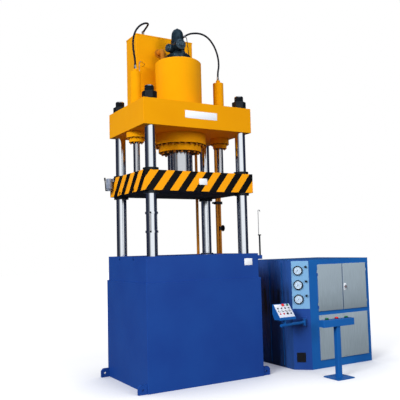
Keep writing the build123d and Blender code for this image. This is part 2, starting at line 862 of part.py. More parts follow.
# Grease pump: body and bracket on the slide's left face
pump_x = -slide_width / 2 - pump_gap - pump_diameter / 2
pump_bottom = slide_bottom + 0.42 * slide_height
with BuildPart() as grease_pump:
    with BuildSketch(Plane.XY.offset(pump_bottom)):
        with Locations((pump_x, pump_y)):
            Circle(pump_diameter / 2)
    extrude(amount=pump_height)
    fillet(grease_pump.faces().sort_by(Axis.Z)[-1].edges(), 14)
    with BuildSketch(Plane.XY.offset(pump_bottom - 30)):
        with Locations((pump_x, pump_y)):
            Circle(pump_diameter * 0.31)
    extrude(amount=30)
    with BuildSketch(Plane.XY.offset(slide_top - 62)):
        with Locations((-slide_width / 2, pump_y)):
            Rectangle(pump_gap + pump_diameter / 2, 70, align=(Align.MAX, Align.CENTER))
    extrude(amount=50)
    lever_y = pump_y + pump_diameter * 0.31 + 34
    lever_z = pump_bottom - 15
    with BuildSketch(Plane.XY.offset(pump_bottom - 27)):
        with Locations((pump_x, pump_y + pump_diameter * 0.25)):
            Rectangle(24, lever_y - pump_y - pump_diameter * 0.25 + 12, align=(Align.CENTER, Align.MIN))
    extrude(amount=24)
    with BuildSketch(Plane.YZ.offset(pump_x)):
        with Locations((lever_y, lever_z)):
            Circle(5)
    extrude(amount=-30)
save(grease_pump, "grease_pump", STEEL)

# Lever of the grease pump, on a pin beside the pump's foot
with BuildPart() as pump_lever:
    lever_plane = Plane.YZ.offset(pump_x - 13)
    lever_top = (lever_y + lever_reach * 0.42, lever_z + lever_reach)
    with BuildSketch(lever_plane):
        with Locations((lever_y, lever_z)):
            Circle(13)
        with BuildLine():
            Polyline((lever_y, lever_z - 9), (lever_y + 46, lever_z - 9), (lever_top[0] + 8, lever_top[1]),
                     (lever_top[0] - 8, lever_top[1]), (lever_y + 30, lever_z + 9), (lever_y, lever_z + 9),
                     close=True)
        make_face()
        with Locations((lever_y, lever_z)):
            Circle(5 + fit, mode=Mode.SUBTRACT)
    extrude(amount=-12)
    grip_way = Vector(0, lever_top[0] - lever_y - 38, lever_reach).normalized()
    with BuildSketch(Plane(origin=(pump_x - 19, lever_top[0], lever_top[1] - 6), z_dir=grip_way)):
        Circle(13)
    extrude(amount=46)
save(pump_lever, "pump_lever", DARK)

# Ejector cylinder under the bed and its rod, which rises through the table
with BuildPart() as ejector_cylinder:
    ejector_bottom = base_height - ejector_length
    with BuildSketch(Plane.XZ):
        with BuildLine():
            Polyline(
                (ejector_rod_diameter / 2 + fit, base_height),
                (ejector_barrel / 2 + 60, base_height),
                (ejector_barrel / 2 + 60, base_height - 45),
                (ejector_barrel / 2, base_height - 45),
                (ejector_barrel / 2, ejector_bottom),
                (0, ejector_bottom),
                (0, ejector_bottom + 50),
                (ejector_bore / 2, ejector_bottom + 50),
                (ejector_bore / 2, base_height - 130),
                (ejector_rod_diameter / 2 + fit, base_height - 130),
                close=True,
            )
        make_face()
    revolve(axis=Axis.Z)
save(ejector_cylinder, "ejector_cylinder", BLUE)

with BuildPart() as ejector_rod:
    ejector_head_z = ejector_bottom + 70
    with BuildSketch(Plane.XY.offset(ejector_head_z)):
        Circle(ejector_bore / 2 - fit)
    extrude(amount=ejector_head)
    with BuildSketch(Plane.XY.offset(ejector_head_z + ejector_head)):
        Circle(ejector_rod_diameter / 2)
    extrude(amount=bed_top - ejector_sink - ejector_head_z - ejector_head)
    chamfer(ejector_rod.faces().sort_by(Axis.Z)[-1].edges(), 4)
save(ejector_rod, "ejector_rod", STEEL)

# Column scale: a graduated rail with two clamps and four knobs on the front left column
with BuildPart() as column_scale:
    rail_way = Vector(cos(radians(rail_angle)), sin(radians(rail_angle)), 0)
    rail_radius = column_diameter / 2 + 30
    clamp_levels = (rail_bottom - 8, rail_bottom + rail_length - 22)
    for level in clamp_levels:
        with BuildSketch(Plane.XY.offset(level)):
            with Locations((-column_x, -column_y)):
                Circle(column_diameter / 2 + 12)
                Circle(column_diameter / 2 + fit, mode=Mode.SUBTRACT)
        extrude(amount=30)
        clamp_block = Plane(
            origin=(-column_x + rail_way.X * rail_radius, -column_y + rail_way.Y * rail_radius, level + 15),
            z_dir=rail_way,
        )
        with BuildSketch(clamp_block.offset(-22)):
            Rectangle(26, 26)
        extrude(amount=26)
        with BuildSketch(clamp_block.offset(4)):
            Circle(9)
        extrude(amount=22)
    rail_x = -column_x + rail_way.X * rail_radius
    rail_y = -column_y + rail_way.Y * rail_radius
    with BuildSketch(Plane(origin=(rail_x, rail_y, rail_bottom), x_dir=rail_way, z_dir=(0, 0, 1))):
        with Locations((4, 0)):
            Rectangle(8, 22)
    extrude(amount=rail_length)
save(column_scale, "column_scale", DARK)

# Trip rod: an upright on the bed's right face, with a thinner rod and a hooked end
with BuildPart() as trip_rod:
    trip_foot = bed_top - 90
    with BuildSketch(Plane.XY.offset(trip_foot)):
        with Locations((bed_width / 2, trip_y)):
            Rectangle(trip_x - bed_width / 2 + 24, 42, align=(Align.MIN, Align.CENTER))
    extrude(amount=60)
    with BuildSketch(Plane.XY.offset(trip_foot + 60)):
        with Locations((trip_x, trip_y)):
            Circle(13)
    extrude(amount=trip_height + 30)
    with BuildSketch(Plane.XY.offset(trip_foot + 90 + trip_height)):
        with Locations((trip_x, trip_y)):
            Rectangle(44, 24)
    extrude(amount=16)
    with BuildLine():
        hook_base = trip_foot + 106 + trip_height
        hook = FilletPolyline(
            (trip_x - 14, trip_y, hook_base),
            (trip_x - 14, trip_y, hook_base + trip_thin),
            (trip_x + 20, trip_y, hook_base + trip_thin),
            (trip_x + 20, trip_y, hook_base + trip_thin - 26),
            radius=11,
        )
    with BuildSketch(Plane(origin=hook @ 0, z_dir=hook % 0)):
        Circle(5)
    sweep()
save(trip_rod, "trip_rod", DARK)


def cabinet_outline(inset):
    """The cabinet's plan with its bevelled front left corner, drawn inside by the inset."""
    bevel_inset = inset * (1 - bevel_y / (bevel_x + bevel_length))
    bevel_inset_y = inset * (1 - bevel_x / (bevel_y + bevel_length))
    return (
        (cabinet_left + inset, cabinet_front + bevel_y + bevel_inset_y),
        (cabinet_left + bevel_x + bevel_inset, cabinet_front + inset),
        (cabinet_right - inset, cabinet_front + inset),
        (cabinet_right - inset, cabinet_back - inset),
        (cabinet_left + inset, cabinet_back - inset),
    )


pivot_point = bevel_plane.offset(pivot_reach).from_local_coords(Vector(pivot_along, 0, 0))
door_left_x = door_centre - door_gap / 2 - door_width
door_right_x = door_centre + door_gap / 2
hinge_levels = (door_bottom + 90, door_bottom + door_height - 90 - knuckle_height)
hinge_xs = (door_left_x - hinge_offset, door_right_x + door_width + hinge_offset)
hinge_y = cabinet_front - door_thickness / 2 - 1

# Cabinet shell: folded sheet with door openings, ribs on the left side, vent slats and hinge knuckles
with BuildPart() as cabinet_shell:
    with BuildSketch():
        with BuildLine():
            Polyline(*cabinet_outline(0), close=True)
        make_face()
    extrude(amount=cabinet_height)
    with BuildSketch(Plane.XY.offset(cabinet_wall)):
        with BuildLine():
            Polyline(*cabinet_outline(cabinet_wall), close=True)
        make_face()
    extrude(amount=cabinet_height - 2 * cabinet_wall, mode=Mode.SUBTRACT)
    with BuildSketch(Plane.XZ.offset(-cabinet_front + 1)):
        for left in (door_left_x, door_right_x):
            with Locations((left + door_width / 2, door_bottom + door_height / 2)):
                Rectangle(door_width - 2 * door_lap, door_height - 2 * door_lap)
        with Locations((door_centre, lower_bottom + lower_height / 2)):
            Rectangle(lower_width - 2 * door_lap, lower_height - 2 * door_lap)
    extrude(amount=-cabinet_wall - 2, mode=Mode.SUBTRACT)
    rib_places = [cabinet_back - 150 - i * rib_pitch for i in range(rib_count)]
    with BuildSketch(Plane.YZ.offset(cabinet_left)):
        with Locations(*[(y, cabinet_height / 2) for y in rib_places]):
            Rectangle(rib_size * 2.5, cabinet_height - 80)
    extrude(amount=-rib_size)
    vent_along = (bevel_length - vent_width) / 2 - 25 + vent_width / 2
    vent_pitch = vent_height / vent_slats
    with BuildSketch(bevel_plane.offset(1)):
        with Locations((vent_along, vent_bottom + vent_height / 2)):
            with GridLocations(1, vent_pitch, 1, vent_slats):
                Rectangle(vent_width, vent_pitch * 0.55)
    extrude(amount=-cabinet_wall - 2, mode=Mode.SUBTRACT)
    for level in hinge_levels:
        for hinge_x in hinge_xs:
            with BuildSketch(Plane.XY.offset(level - knuckle_height)):
                with Locations((hinge_x, hinge_y)):
                    Circle(knuckle_radius)
                    Rectangle(2 * knuckle_radius, cabinet_front - hinge_y, align=(Align.CENTER, Align.MIN))
            extrude(amount=knuckle_height - seat_gap)
            with BuildSketch(Plane.XY.offset(level - 2)):
                with Locations((hinge_x, hinge_y)):
                    Circle(pin_radius)
            extrude(amount=knuckle_height * 0.8)
    with BuildSketch(bevel_plane):
        with Locations((pivot_along, pivot_height)):
            RectangleRounded(90, 150, 8)
    extrude(amount=10)
    for ear_z in (pivot_height - hub_height / 2 - seat_gap - ear_height, pivot_height + hub_height / 2 + 2):
        with BuildSketch(Plane.XY.offset(ear_z)):
            with Locations((pivot_point.X, pivot_point.Y)):
                Circle(pivot_radius)
        extrude(amount=ear_height)
        with BuildSketch(bevel_plane.offset(10)):
            with Locations((pivot_along, ear_z + ear_height / 2)):
                Rectangle(44, ear_height)
        extrude(amount=pivot_reach - 10)
    with BuildSketch(Plane.XY.offset(pivot_height - hub_height / 2 - seat_gap)):
        with Locations((pivot_point.X, pivot_point.Y)):
            Circle(pivot_pin)
    extrude(amount=hub_height + seat_gap + 2)
save(cabinet_shell, "cabinet_shell", BLUE)

# Upper doors: folded trays that lap their openings, with hinge knuckles on the outer edges
lock_z = door_bottom + 0.49 * door_height
lock_x = door_right_x + 35
lock_radius = 9
for door_name, left, hinge_x in (
    ("door_left", door_left_x, hinge_xs[0]),
    ("door_right", door_right_x, hinge_xs[1]),
):
    with BuildPart() as door:
        with BuildSketch(Plane.XZ.offset(-cabinet_front + door_seat)):
            with Locations((left + door_width / 2, door_bottom + door_height / 2)):
                Rectangle(door_width, door_height)
        extrude(amount=door_thickness)
        fillet(door.faces().sort_by(Axis.Y)[0].edges(), 4)
        with BuildSketch(Plane.XZ.offset(-cabinet_front + door_seat)):
            with Locations((left + door_width / 2, door_bottom + door_height / 2)):
                Rectangle(door_width - 2 * door_lap, door_height - 2 * door_lap)
        extrude(amount=door_thickness - 3, mode=Mode.SUBTRACT)
        if door_name == "door_right":
            lock_face = (lock_x, cabinet_front - door_thickness - 1, lock_z)
            with Locations(Plane(origin=lock_face, z_dir=(0, -1, 0))):
                Hole(lock_radius + fit)
        edge_x = left if hinge_x < left else left + door_width
        for level in hinge_levels:
            with BuildSketch(Plane.XY.offset(level)):
                with Locations((hinge_x, hinge_y)):
                    Circle(knuckle_radius)
                with Locations(((hinge_x + edge_x) / 2, hinge_y)):
                    Rectangle(abs(edge_x - hinge_x) + 2, 6)
                with Locations((hinge_x, hinge_y)):
                    Circle(pin_radius + fit, mode=Mode.SUBTRACT)
            extrude(amount=knuckle_height)
    save(door, door_name, STEEL)

# Door lock: a round turn lock with a cam behind the right door
with BuildPart() as door_lock:
    lock_plane = Plane.XZ.offset(-cabinet_front + door_seat + door_thickness)
    with BuildSketch(lock_plane.offset(0.3)):
        with Locations((lock_x, lock_z)):
            Circle(lock_radius)
    extrude(amount=-door_thickness - cabinet_wall - 12.3)
    with BuildSketch(lock_plane.offset(0.3)):
        with Locations((lock_x, lock_z)):
            Circle(19)
    extrude(amount=16)
    with BuildSketch(lock_plane.offset(0.3)):
        with Locations((lock_x, lock_z)):
            Rectangle(14, 62)
    extrude(amount=24)
    with BuildSketch(lock_plane.offset(-door_thickness - cabinet_wall - 6)):
        with Locations((lock_x, lock_z)):
            Rectangle(18, 52, align=(Align.CENTER, Align.MAX))
    extrude(amount=-5)
save(door_lock, "door_lock", DARK)

# Lower panel: the wide cover below the doors, screwed on
with BuildPart() as lower_panel:
    with BuildSketch(Plane.XZ.offset(-cabinet_front)):
        with Locations((door_centre, lower_bottom + lower_height / 2)):
            Rectangle(lower_width, lower_height)
    extrude(amount=door_thickness)
    fillet(lower_panel.faces().sort_by(Axis.Y)[0].edges(), 4)
    with BuildSketch(Plane.XZ.offset(-cabinet_front)):
        with Locations((door_centre, lower_bottom + lower_height / 2)):
            Rectangle(lower_width - 2 * door_lap, lower_height - 2 * door_lap)
    extrude(amount=door_thickness - 3, mode=Mode.SUBTRACT)
save(lower_panel, "lower_panel", STEEL)

# Gauge panel: a light plate on the bevel, with the spindles of the gauge valves
with BuildPart() as gauge_panel:
    with BuildSketch(bevel_plane):
        with Locations((bevel_length / 2, panel_bottom + panel_height / 2)):
            Rectangle(panel_width, panel_height)
    extrude(amount=panel_thickness)
    with BuildSketch(bevel_plane.offset(panel_thickness)):
        with Locations(*[(knob_along, z + knob_rise) for z in gauge_rows]):
            Circle(spindle_radius)
    extrude(amount=knob_depth - 4)
save(gauge_panel, "gauge_panel", STEEL)

# Gauge cases: round cases with a raised bezel round a sunk dial and a centre pin for the needle
case_front = panel_thickness + gauge_depth
dial_plane = bevel_plane.offset(case_front - gauge_dial_depth)
gauge_places = [(gauge_along, z) for z in gauge_rows]
needle_length = gauge_diameter / 2 - 20
with BuildPart() as gauge_cases:
    with BuildSketch(bevel_plane.offset(panel_thickness)):
        with Locations(*gauge_places):
            Circle(gauge_diameter / 2)
    extrude(amount=gauge_depth)
    with BuildSketch(bevel_plane.offset(case_front)):
        with Locations(*gauge_places):
            Circle(gauge_diameter / 2 - 9)
    extrude(amount=-gauge_dial_depth, mode=Mode.SUBTRACT)
    with BuildSketch(dial_plane):
        with Locations(*gauge_places):
            Circle(2)
    extrude(amount=6)
save(gauge_cases, "gauge_cases", DARK)

# Needles and knobs: one of each for every gauge
for i, z in enumerate(gauge_rows):
    with BuildPart() as needle:
        with BuildSketch(dial_plane.offset(2)):
            with Locations((gauge_along, z)):
                Circle(7)
            with Locations(Location((gauge_along, z), needle_zero)):
                Polygon((-3, 0), (3, 0), (1, needle_length), (-1, needle_length), align=None)
            with Locations((gauge_along, z)):
                Circle(2 + fit, mode=Mode.SUBTRACT)
        extrude(amount=2)
    save(needle, f"gauge_needle_{i + 1}", DARK)
    with BuildPart() as knob:
        with BuildSketch(bevel_plane.offset(panel_thickness + 6)):
            with Locations((knob_along, z + knob_rise)):
                Circle(knob_diameter / 2)
                with PolarLocations(knob_diameter / 2, 6):
                    Circle(3.2, mode=Mode.SUBTRACT)
                Circle(spindle_radius + fit, mode=Mode.SUBTRACT)
        extrude(amount=knob_depth)
        with BuildSketch(bevel_plane.offset(panel_thickness + 6 + knob_depth)):
            with Locations((knob_along, z + knob_rise)):
                Circle(9)
        extrude(amount=-5)
    save(knob, f"gauge_knob_{i + 1}", DARK)

# Oil tank and pump set inside the cabinet
with BuildPart() as oil_tank:
    sump_left = cabinet_left + bevel_x + 90
    with BuildSketch(Plane.XY.offset(cabinet_wall)):
        with Locations(((sump_left + cabinet_right - 80) / 2, (cabinet_front + cabinet_back) / 2 + 90)):
            RectangleRounded(cabinet_right - 80 - sump_left, cabinet_depth - 330, 30)
    extrude(amount=sump_height)
    fillet(oil_tank.faces().sort_by(Axis.Z)[-1].edges(), 10)
    with BuildSketch(Plane.XY.offset(cabinet_wall + tank_wall)):
        with Locations(((sump_left + cabinet_right - 80) / 2, (cabinet_front + cabinet_back) / 2 + 90)):
            Rectangle(cabinet_right - 100 - sump_left, cabinet_depth - 350)
    extrude(amount=sump_height - 2 * tank_wall, mode=Mode.SUBTRACT)
save(oil_tank, "oil_tank", BLUE)

with BuildPart() as pump_motor:
    motor_y = (cabinet_front + cabinet_back) / 2 + motor_offset
    motor_z = cabinet_wall + sump_height
    motor_axis = motor_z + motor_rise
    motor_x = (sump_left + cabinet_right - 80) / 2
    motor_end = motor_x - 380 + motor_length
    with BuildSketch(Plane.YZ.offset(motor_end - motor_length)):
        with Locations((motor_y, motor_axis)):
            Circle(motor_radius)
            with PolarLocations(motor_radius + 1, 24):
                Rectangle(fin_height, fin_thickness)
    extrude(amount=motor_length)
    with BuildSketch(Plane.YZ.offset(motor_end)):
        with Locations((motor_y, motor_axis)):
            Circle(motor_radius + 15)
    extrude(amount=motor_flange)
    with BuildSketch(Plane.YZ.offset(motor_end + motor_flange)):
        with Locations((motor_y, motor_axis)):
            Circle(bell_radius)
    extrude(amount=bell_length)
    with BuildSketch(Plane.YZ.offset(motor_end + motor_flange + bell_length)):
        with Locations((motor_y, motor_axis)):
            Circle(oil_pump_radius)
    extrude(amount=oil_pump_length)
    with BuildSketch(Plane.XY.offset(motor_z)):
        for x in (motor_end - motor_length + 80, motor_end - 80):
            with Locations((x, motor_y)):
                Rectangle(motor_foot_width, motor_foot_depth)
    extrude(amount=motor_foot_height)
save(pump_motor, "pump_motor", DARK)

# Swing arm: a hub on the bracket's pin, a level tube and the console's post
arm_vector = Vector(console_x - pivot_point.X, console_y - pivot_point.Y, 0)
with BuildPart() as console_arm:
    with BuildSketch(Plane.XY.offset(pivot_height - hub_height / 2)):
        with Locations((pivot_point.X, pivot_point.Y)):
            Circle(pivot_radius)
    extrude(amount=hub_height)
    arm_plane = Plane(origin=(pivot_point.X, pivot_point.Y, pivot_height), z_dir=arm_vector)
    with BuildSketch(arm_plane):
        Circle(arm_diameter / 2)
    extrude(amount=arm_vector.length + 85)
    with BuildSketch(Plane.XY.offset(pivot_height - 10)):
        with Locations((console_x, console_y)):
            Circle(post_diameter / 2)
    extrude(amount=console_floor - pivot_height + 10)
    with Locations((pivot_point.X, pivot_point.Y, pivot_height + hub_height / 2)):
        Hole(pivot_pin + fit)
save(console_arm, "console_arm", BLUE)

# Console box: a wedge with a sloping panel and a lip below it
slope_y = console_slope * cos(radians(console_tilt))
slope_z = console_slope * sin(radians(console_tilt))
console_front = console_y - slope_y / 2
panel_plane = Plane(
    origin=(console_x, console_front + slope_y, console_low + slope_z),
    x_dir=(1, 0, 0),
    z_dir=(0, -sin(radians(console_tilt)), cos(radians(console_tilt))),
)
with BuildPart() as console_box:
    with BuildSketch(Plane.YZ.offset(console_x - console_width / 2)):
        with BuildLine():
            Polyline(
                (console_front - 6, console_floor),
                (console_front - 6, console_low - 4),
                (console_front, console_low),
                (console_front + slope_y, console_low + slope_z),
                (console_front + slope_y + console_back, console_low + slope_z),
                (console_front + slope_y + console_back, console_floor + 90),
                (console_front + slope_y - 20, console_floor),
                close=True,
            )
        make_face()
    extrude(amount=console_width)
    stem_rows = ((0, (stop_x, button_columns[3])), (2, button_columns), (3, button_columns[2:3]))
    for row, columns_used in stem_rows:
        with BuildSketch(panel_plane):
            with Locations(*[(x, -button_rows[row]) for x in columns_used]):
                Circle(8 + fit)
        extrude(amount=-stem_depth - 8, mode=Mode.SUBTRACT)
save(console_box, "console_box", BLUE)


def push_button(plane, name, diameter, cap_height, color, stem=8, travel=6, dome=3):
    """A button with its stem in the housing: the cap stands clear of the face by its travel."""
    with BuildPart() as button:
        with BuildSketch(plane.offset(travel + 1)):
            Circle(diameter / 2)
        extrude(amount=cap_height)
        fillet(button.faces().sort_by(Axis(plane.origin, plane.z_dir))[-1].edges(), dome)
        with BuildSketch(plane.offset(travel + 1)):
            Circle(stem)
        extrude(amount=-stem_depth)
    save(button, name, color)


def on_panel(x, row):
    """The panel's plane moved to a place in a row."""
    return panel_plane.shift_origin(panel_plane.from_local_coords(Vector(x, -button_rows[row], 0)))


RED = (0.75, 0.05, 0.04)
GREEN = (0.05, 0.5, 0.12)
WHITE = (0.85, 0.86, 0.84)
push_button(on_panel(stop_x, 0), "stop_button", stop_button, 18, RED, dome=8)
push_button(on_panel(button_columns[3], 0), "start_button", start_button, 10, GREEN)
for i, x in enumerate(button_columns):
    push_button(on_panel(x, 2), f"console_button_{i + 1}", small_button, 9, WHITE)

# Selector switch: a short bar handle that turns in the panel
with BuildPart() as selector_switch:
    selector_plane = on_panel(button_columns[2], 3)
    with BuildSketch(selector_plane.offset(0.5)):
        Circle(small_button / 2)
    extrude(amount=6)
    with BuildSketch(selector_plane.offset(0.5)):
        Rectangle(9, small_button - 2)
    extrude(amount=18)
    with BuildSketch(selector_plane.offset(0.5)):
        Circle(8)
    extrude(amount=-stem_depth)
save(selector_switch, "selector_switch", DARK)

# Pilot lamps: domed lenses on the console, fixed
with BuildPart() as pilot_lamps:
    lamp_places = [(x, 1) for x in button_columns]
    lamp_places += [(x, 3) for x in button_columns[:2] + button_columns[3:]]
    for x, row in lamp_places:
        lamp_plane = on_panel(x, row)
        with BuildSketch(lamp_plane):
            Circle(small_button / 2 + 2)
        extrude(amount=collar)
        with BuildSketch(lamp_plane.offset(collar)):
            Circle(small_button / 2 - 2)
        extrude(amount=6, taper=18)
save(pilot_lamps, "pilot_lamps", WHITE)

# Pedestal: floor plate, square post and the box with three palm buttons
box_bottom = pedestal_top - palm_box_height
with BuildPart() as pedestal_stand:
    with BuildSketch():
        with Locations((pedestal_x, pedestal_y)):
            RectangleRounded(plate_width, plate_width, 12)
            with GridLocations(plate_width - 60, plate_width - 60, 2, 2):
                Circle(7, mode=Mode.SUBTRACT)
    extrude(amount=plate_thickness)
    with BuildSketch(Plane.XY.offset(plate_thickness)):
        with Locations((pedestal_x, pedestal_y)):
            RectangleRounded(post_size, post_size, 8)
    extrude(amount=box_bottom - plate_thickness)
save(pedestal_stand, "pedestal_stand", BLUE)

palm_places = [(pedestal_x + i * palm_pitch, pedestal_y) for i in (-1, 0, 1)]
with BuildPart() as pedestal_box:
    with BuildSketch(Plane.XY.offset(box_bottom)):
        with Locations((pedestal_x, pedestal_y)):
            RectangleRounded(palm_box_length, palm_box_depth, 10)
    extrude(amount=palm_box_height)
    fillet(pedestal_box.faces().sort_by(Axis.Z)[-1].edges(), 4)
    with BuildSketch(Plane.XY.offset(pedestal_top)):
        with Locations(*palm_places):
            Circle(palm_diameter / 2 + 6)
    extrude(amount=collar)
    with BuildSketch(Plane.XY.offset(pedestal_top + collar)):
        with Locations(*palm_places):
            Circle(10 + fit)
    extrude(amount=-stem_depth - 14, mode=Mode.SUBTRACT)
save(pedestal_box, "pedestal_box", BLUE)

for (x, y), name, color in zip(palm_places, ("palm_left", "palm_stop", "palm_right"), (GREEN, RED, GREEN)):
    palm_plane = Plane(origin=(x, y, pedestal_top + collar))
    push_button(palm_plane, name, palm_diameter, palm_cap, color, stem=10, travel=palm_travel, dome=6)
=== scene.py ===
# %% [markdown]
# A four-column hydraulic press
#
# The press is a frame of four ground columns between a blue stand and a yellow crown. Its solids
# come packed as a fixed frame, in metres, with the origin on the floor under the middle of the
# press. This lesson dresses them: it gives each piece its finish, rounds its edges and adds the
# small things that a draughtsman leaves out.

import json
from math import cos, pi, radians, sin

import bmesh
import bpy
from mathutils import Matrix, Vector

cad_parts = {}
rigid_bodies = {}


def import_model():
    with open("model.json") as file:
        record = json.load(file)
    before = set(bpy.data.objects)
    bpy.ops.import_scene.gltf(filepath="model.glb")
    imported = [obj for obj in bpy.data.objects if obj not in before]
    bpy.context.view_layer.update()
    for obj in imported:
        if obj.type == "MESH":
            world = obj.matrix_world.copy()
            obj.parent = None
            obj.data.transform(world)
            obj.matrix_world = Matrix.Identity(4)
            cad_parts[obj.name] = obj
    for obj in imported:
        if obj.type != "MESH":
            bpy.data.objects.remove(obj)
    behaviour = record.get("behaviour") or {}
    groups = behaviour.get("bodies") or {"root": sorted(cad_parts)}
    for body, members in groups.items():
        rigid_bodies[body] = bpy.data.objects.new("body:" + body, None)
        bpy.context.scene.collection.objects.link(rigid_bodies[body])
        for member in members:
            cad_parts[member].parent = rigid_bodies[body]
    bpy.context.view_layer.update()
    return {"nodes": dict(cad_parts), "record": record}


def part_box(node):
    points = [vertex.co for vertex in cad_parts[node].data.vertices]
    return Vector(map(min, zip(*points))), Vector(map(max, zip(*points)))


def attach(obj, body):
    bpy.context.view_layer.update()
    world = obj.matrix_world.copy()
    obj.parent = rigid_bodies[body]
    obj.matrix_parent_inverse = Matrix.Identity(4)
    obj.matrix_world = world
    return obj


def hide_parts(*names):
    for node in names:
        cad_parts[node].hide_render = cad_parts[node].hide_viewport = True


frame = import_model()
bodies = frame["record"]["behaviour"]["bodies"]
body_of = {node: body for body, members in bodies.items() for node in members}
slot_of = {part["node"]: part["material_slot"] for part in frame["record"]["subparts"]}
scene_objects = bpy.context.scene.collection.objects

# %% [markdown]
# The camera stands where the photographer stood: 9 m away, at the press's left front, a little
# above eye height. A camera in Blender looks along its own -Z, so its matrix has the right, the up
# and the backward direction as columns. They are worked out from a heading, a pitch and a small
# roll, because those three can be read off the photo's own lines, and a matrix can't.

# %% Camera
eye = Vector((-4.369, -8.044, 1.95))
heading, pitch, roll = radians(30.3645), radians(4.6141), radians(-1.4426)
forward = Vector((sin(heading) * cos(pitch), cos(heading) * cos(pitch), sin(pitch)))
level_right = Vector((cos(heading), -sin(heading), 0))
level_up = level_right.cross(forward)
right = cos(roll) * level_right + sin(roll) * level_up
up = -sin(roll) * level_right + cos(roll) * level_up
camera = bpy.data.objects.new("camera", bpy.data.cameras.new("camera"))
camera.data.sensor_width = 36.0
camera.data.lens = 52.8
camera.data.clip_end = 200.0
camera.matrix_world = Matrix((
    (right.x, up.x, -forward.x, eye.x),
    (right.y, up.y, -forward.y, eye.y),
    (right.z, up.z, -forward.z, eye.z),
    (0, 0, 0, 1),
))
scene_objects.link(camera)
bpy.context.scene.camera = camera
bpy.context.scene.view_settings.view_transform = "Standard"
press_middle = Vector((0, 0, 2.5))
print("camera distance", round((eye - press_middle).length, 2))

# %% [markdown]
# Every finish below is a small network of shader nodes. It could be wired socket by socket, but
# that buries the few numbers that matter. So one helper feeds sockets by name, whether with a link
# or with a plain value, and the others build on it. A colour or a number that is the same all over
# is set on the shader's own socket.

# %% Add and feed nodes


def feed(tree, socket, value):
    """Links a socket to the socket given, or fills it with the value given."""
    if isinstance(value, bpy.types.NodeSocket):
        tree.links.new(value, socket)
    elif value is not None:
        socket.default_value = value


def set_sockets(tree, node, **sockets):
    """Feeds a node's inputs by name; an underscore in a keyword stands for a blank."""
    for name, value in sockets.items():
        feed(tree, node.inputs[name.replace("_", " ")], value)
    return node


def add_node(tree, kind, **sockets):
    """Adds a shader node with its inputs fed."""
    return set_sockets(tree, tree.nodes.new("ShaderNode" + kind), **sockets)


# %% [markdown]
# Most of a finish is a noise that is stretched over the range that matters and then mixes two
# colours or sets a roughness. The nodes for that have numbered inputs, and a bare number says
# nothing to a reader, so three helpers keep those numbers in one place.

# %% Sums, mixes and ramps


def sum_node(tree, operation, first, second=None):
    """One step of arithmetic on numbers or sockets."""
    new = tree.nodes.new("ShaderNodeMath")
    new.operation = operation
    for socket, value in zip(new.inputs, (first, second)):
        feed(tree, socket, value)
    return new.outputs[0]


def mix_colours(tree, share, first, second, blend="MIX"):
    """A mix of two colours, by a share from 0 to 1."""
    new = tree.nodes.new("ShaderNodeMix")
    new.data_type = "RGBA"
    new.blend_type = blend
    for index, value in ((0, share), (6, first), (7, second)):
        feed(tree, new.inputs[index], value)
    return new.outputs[2]


def ramp(tree, value, *stops):
    """A colour ramp through (place, grey) stops."""
    new = tree.nodes.new("ShaderNodeValToRGB")
    tree.links.new(value, new.inputs[0])
    points = new.color_ramp.elements
    while len(points) < len(stops):
        points.new(0.5)
    for point, (place, grey) in zip(points, stops):
        point.position = place
        point.color = (grey, grey, grey, 1)
    return new.outputs[0]


# %% [markdown]
# A pattern with a direction needs stretched coordinates, and nearly every surface gets a fine bump.
# Colours are written as on a paint chart, from 0 to 255, because those numbers can be compared with
# a photo. A shader reckons with linear light, so they are converted.

# %% Patterns, colours and a new finish


def stretched(tree, place, scale):
    """Coordinates drawn out or squeezed along each axis, for a pattern with a direction."""
    return add_node(tree, "Mapping", Vector=place, Scale=scale).outputs[0]


def bumped(tree, height, strength, distance):
    """A surface raised by a height from 0 to 1, as a normal for the shader."""
    return add_node(tree, "Bump", Height=height, Strength=strength, Distance=distance).outputs[0]


def linear(red, green, blue):
    """A colour as a paint chart gives it, from 0 to 255, made linear for the shader."""
    parts = []
    for part in (red, green, blue):
        part = part / 255
        parts.append(part / 12.92 if part <= 0.04045 else ((part + 0.055) / 1.055) ** 2.4)
    return (*parts, 1)


def start_finish(name):
    """A new material with its tree, its shader and the object's own coordinates."""
    material = bpy.data.materials.new(name)
    material.use_nodes = True
    tree = material.node_tree
    shader = tree.nodes["Principled BSDF"]
    place = tree.nodes.new("ShaderNodeTexCoord").outputs["Object"]
    return material, tree, shader, place


# %% [markdown]
# The press stands in a white studio. Bright metal shows what stands round it, and in an all-white
# world a chromed shaft would be a white stick. So metal will see a hall of its own. A picture could
# be wrapped round the scene for that, but a few ramps are enough, and they stay sharp. They have to
# know where a ray points. So the first step is a compass that runs from 0 to 1 round the press,
# with the camera's side at 0.5.

# %% Compass
white = (1, 1, 1, 1)
world = bpy.data.worlds.new("studio")
world.use_nodes = True
bpy.context.scene.world = world
sky = world.node_tree
sky.nodes.clear()
ways = sky.nodes.new("ShaderNodeLightPath").outputs
direction = sky.nodes.new("ShaderNodeTexCoord").outputs["Generated"]
split = add_node(sky, "SeparateXYZ", Vector=direction)


def share_along(east, north):
    """How far the direction that is looked at points along a level way."""
    return sum_node(
        sky, "ADD", sum_node(sky, "MULTIPLY", split.outputs[0], east),
        sum_node(sky, "MULTIPLY", split.outputs[1], north),
    )


to_camera = share_along(-sin(heading), -cos(heading))
to_right = share_along(cos(heading), -sin(heading))
bearing = sum_node(sky, "DIVIDE", sum_node(sky, "ARCTAN2", to_right, to_camera), 2 * pi)
compass = sum_node(sky, "ADD", bearing, 0.5)
print("compass nodes", len(sky.nodes))

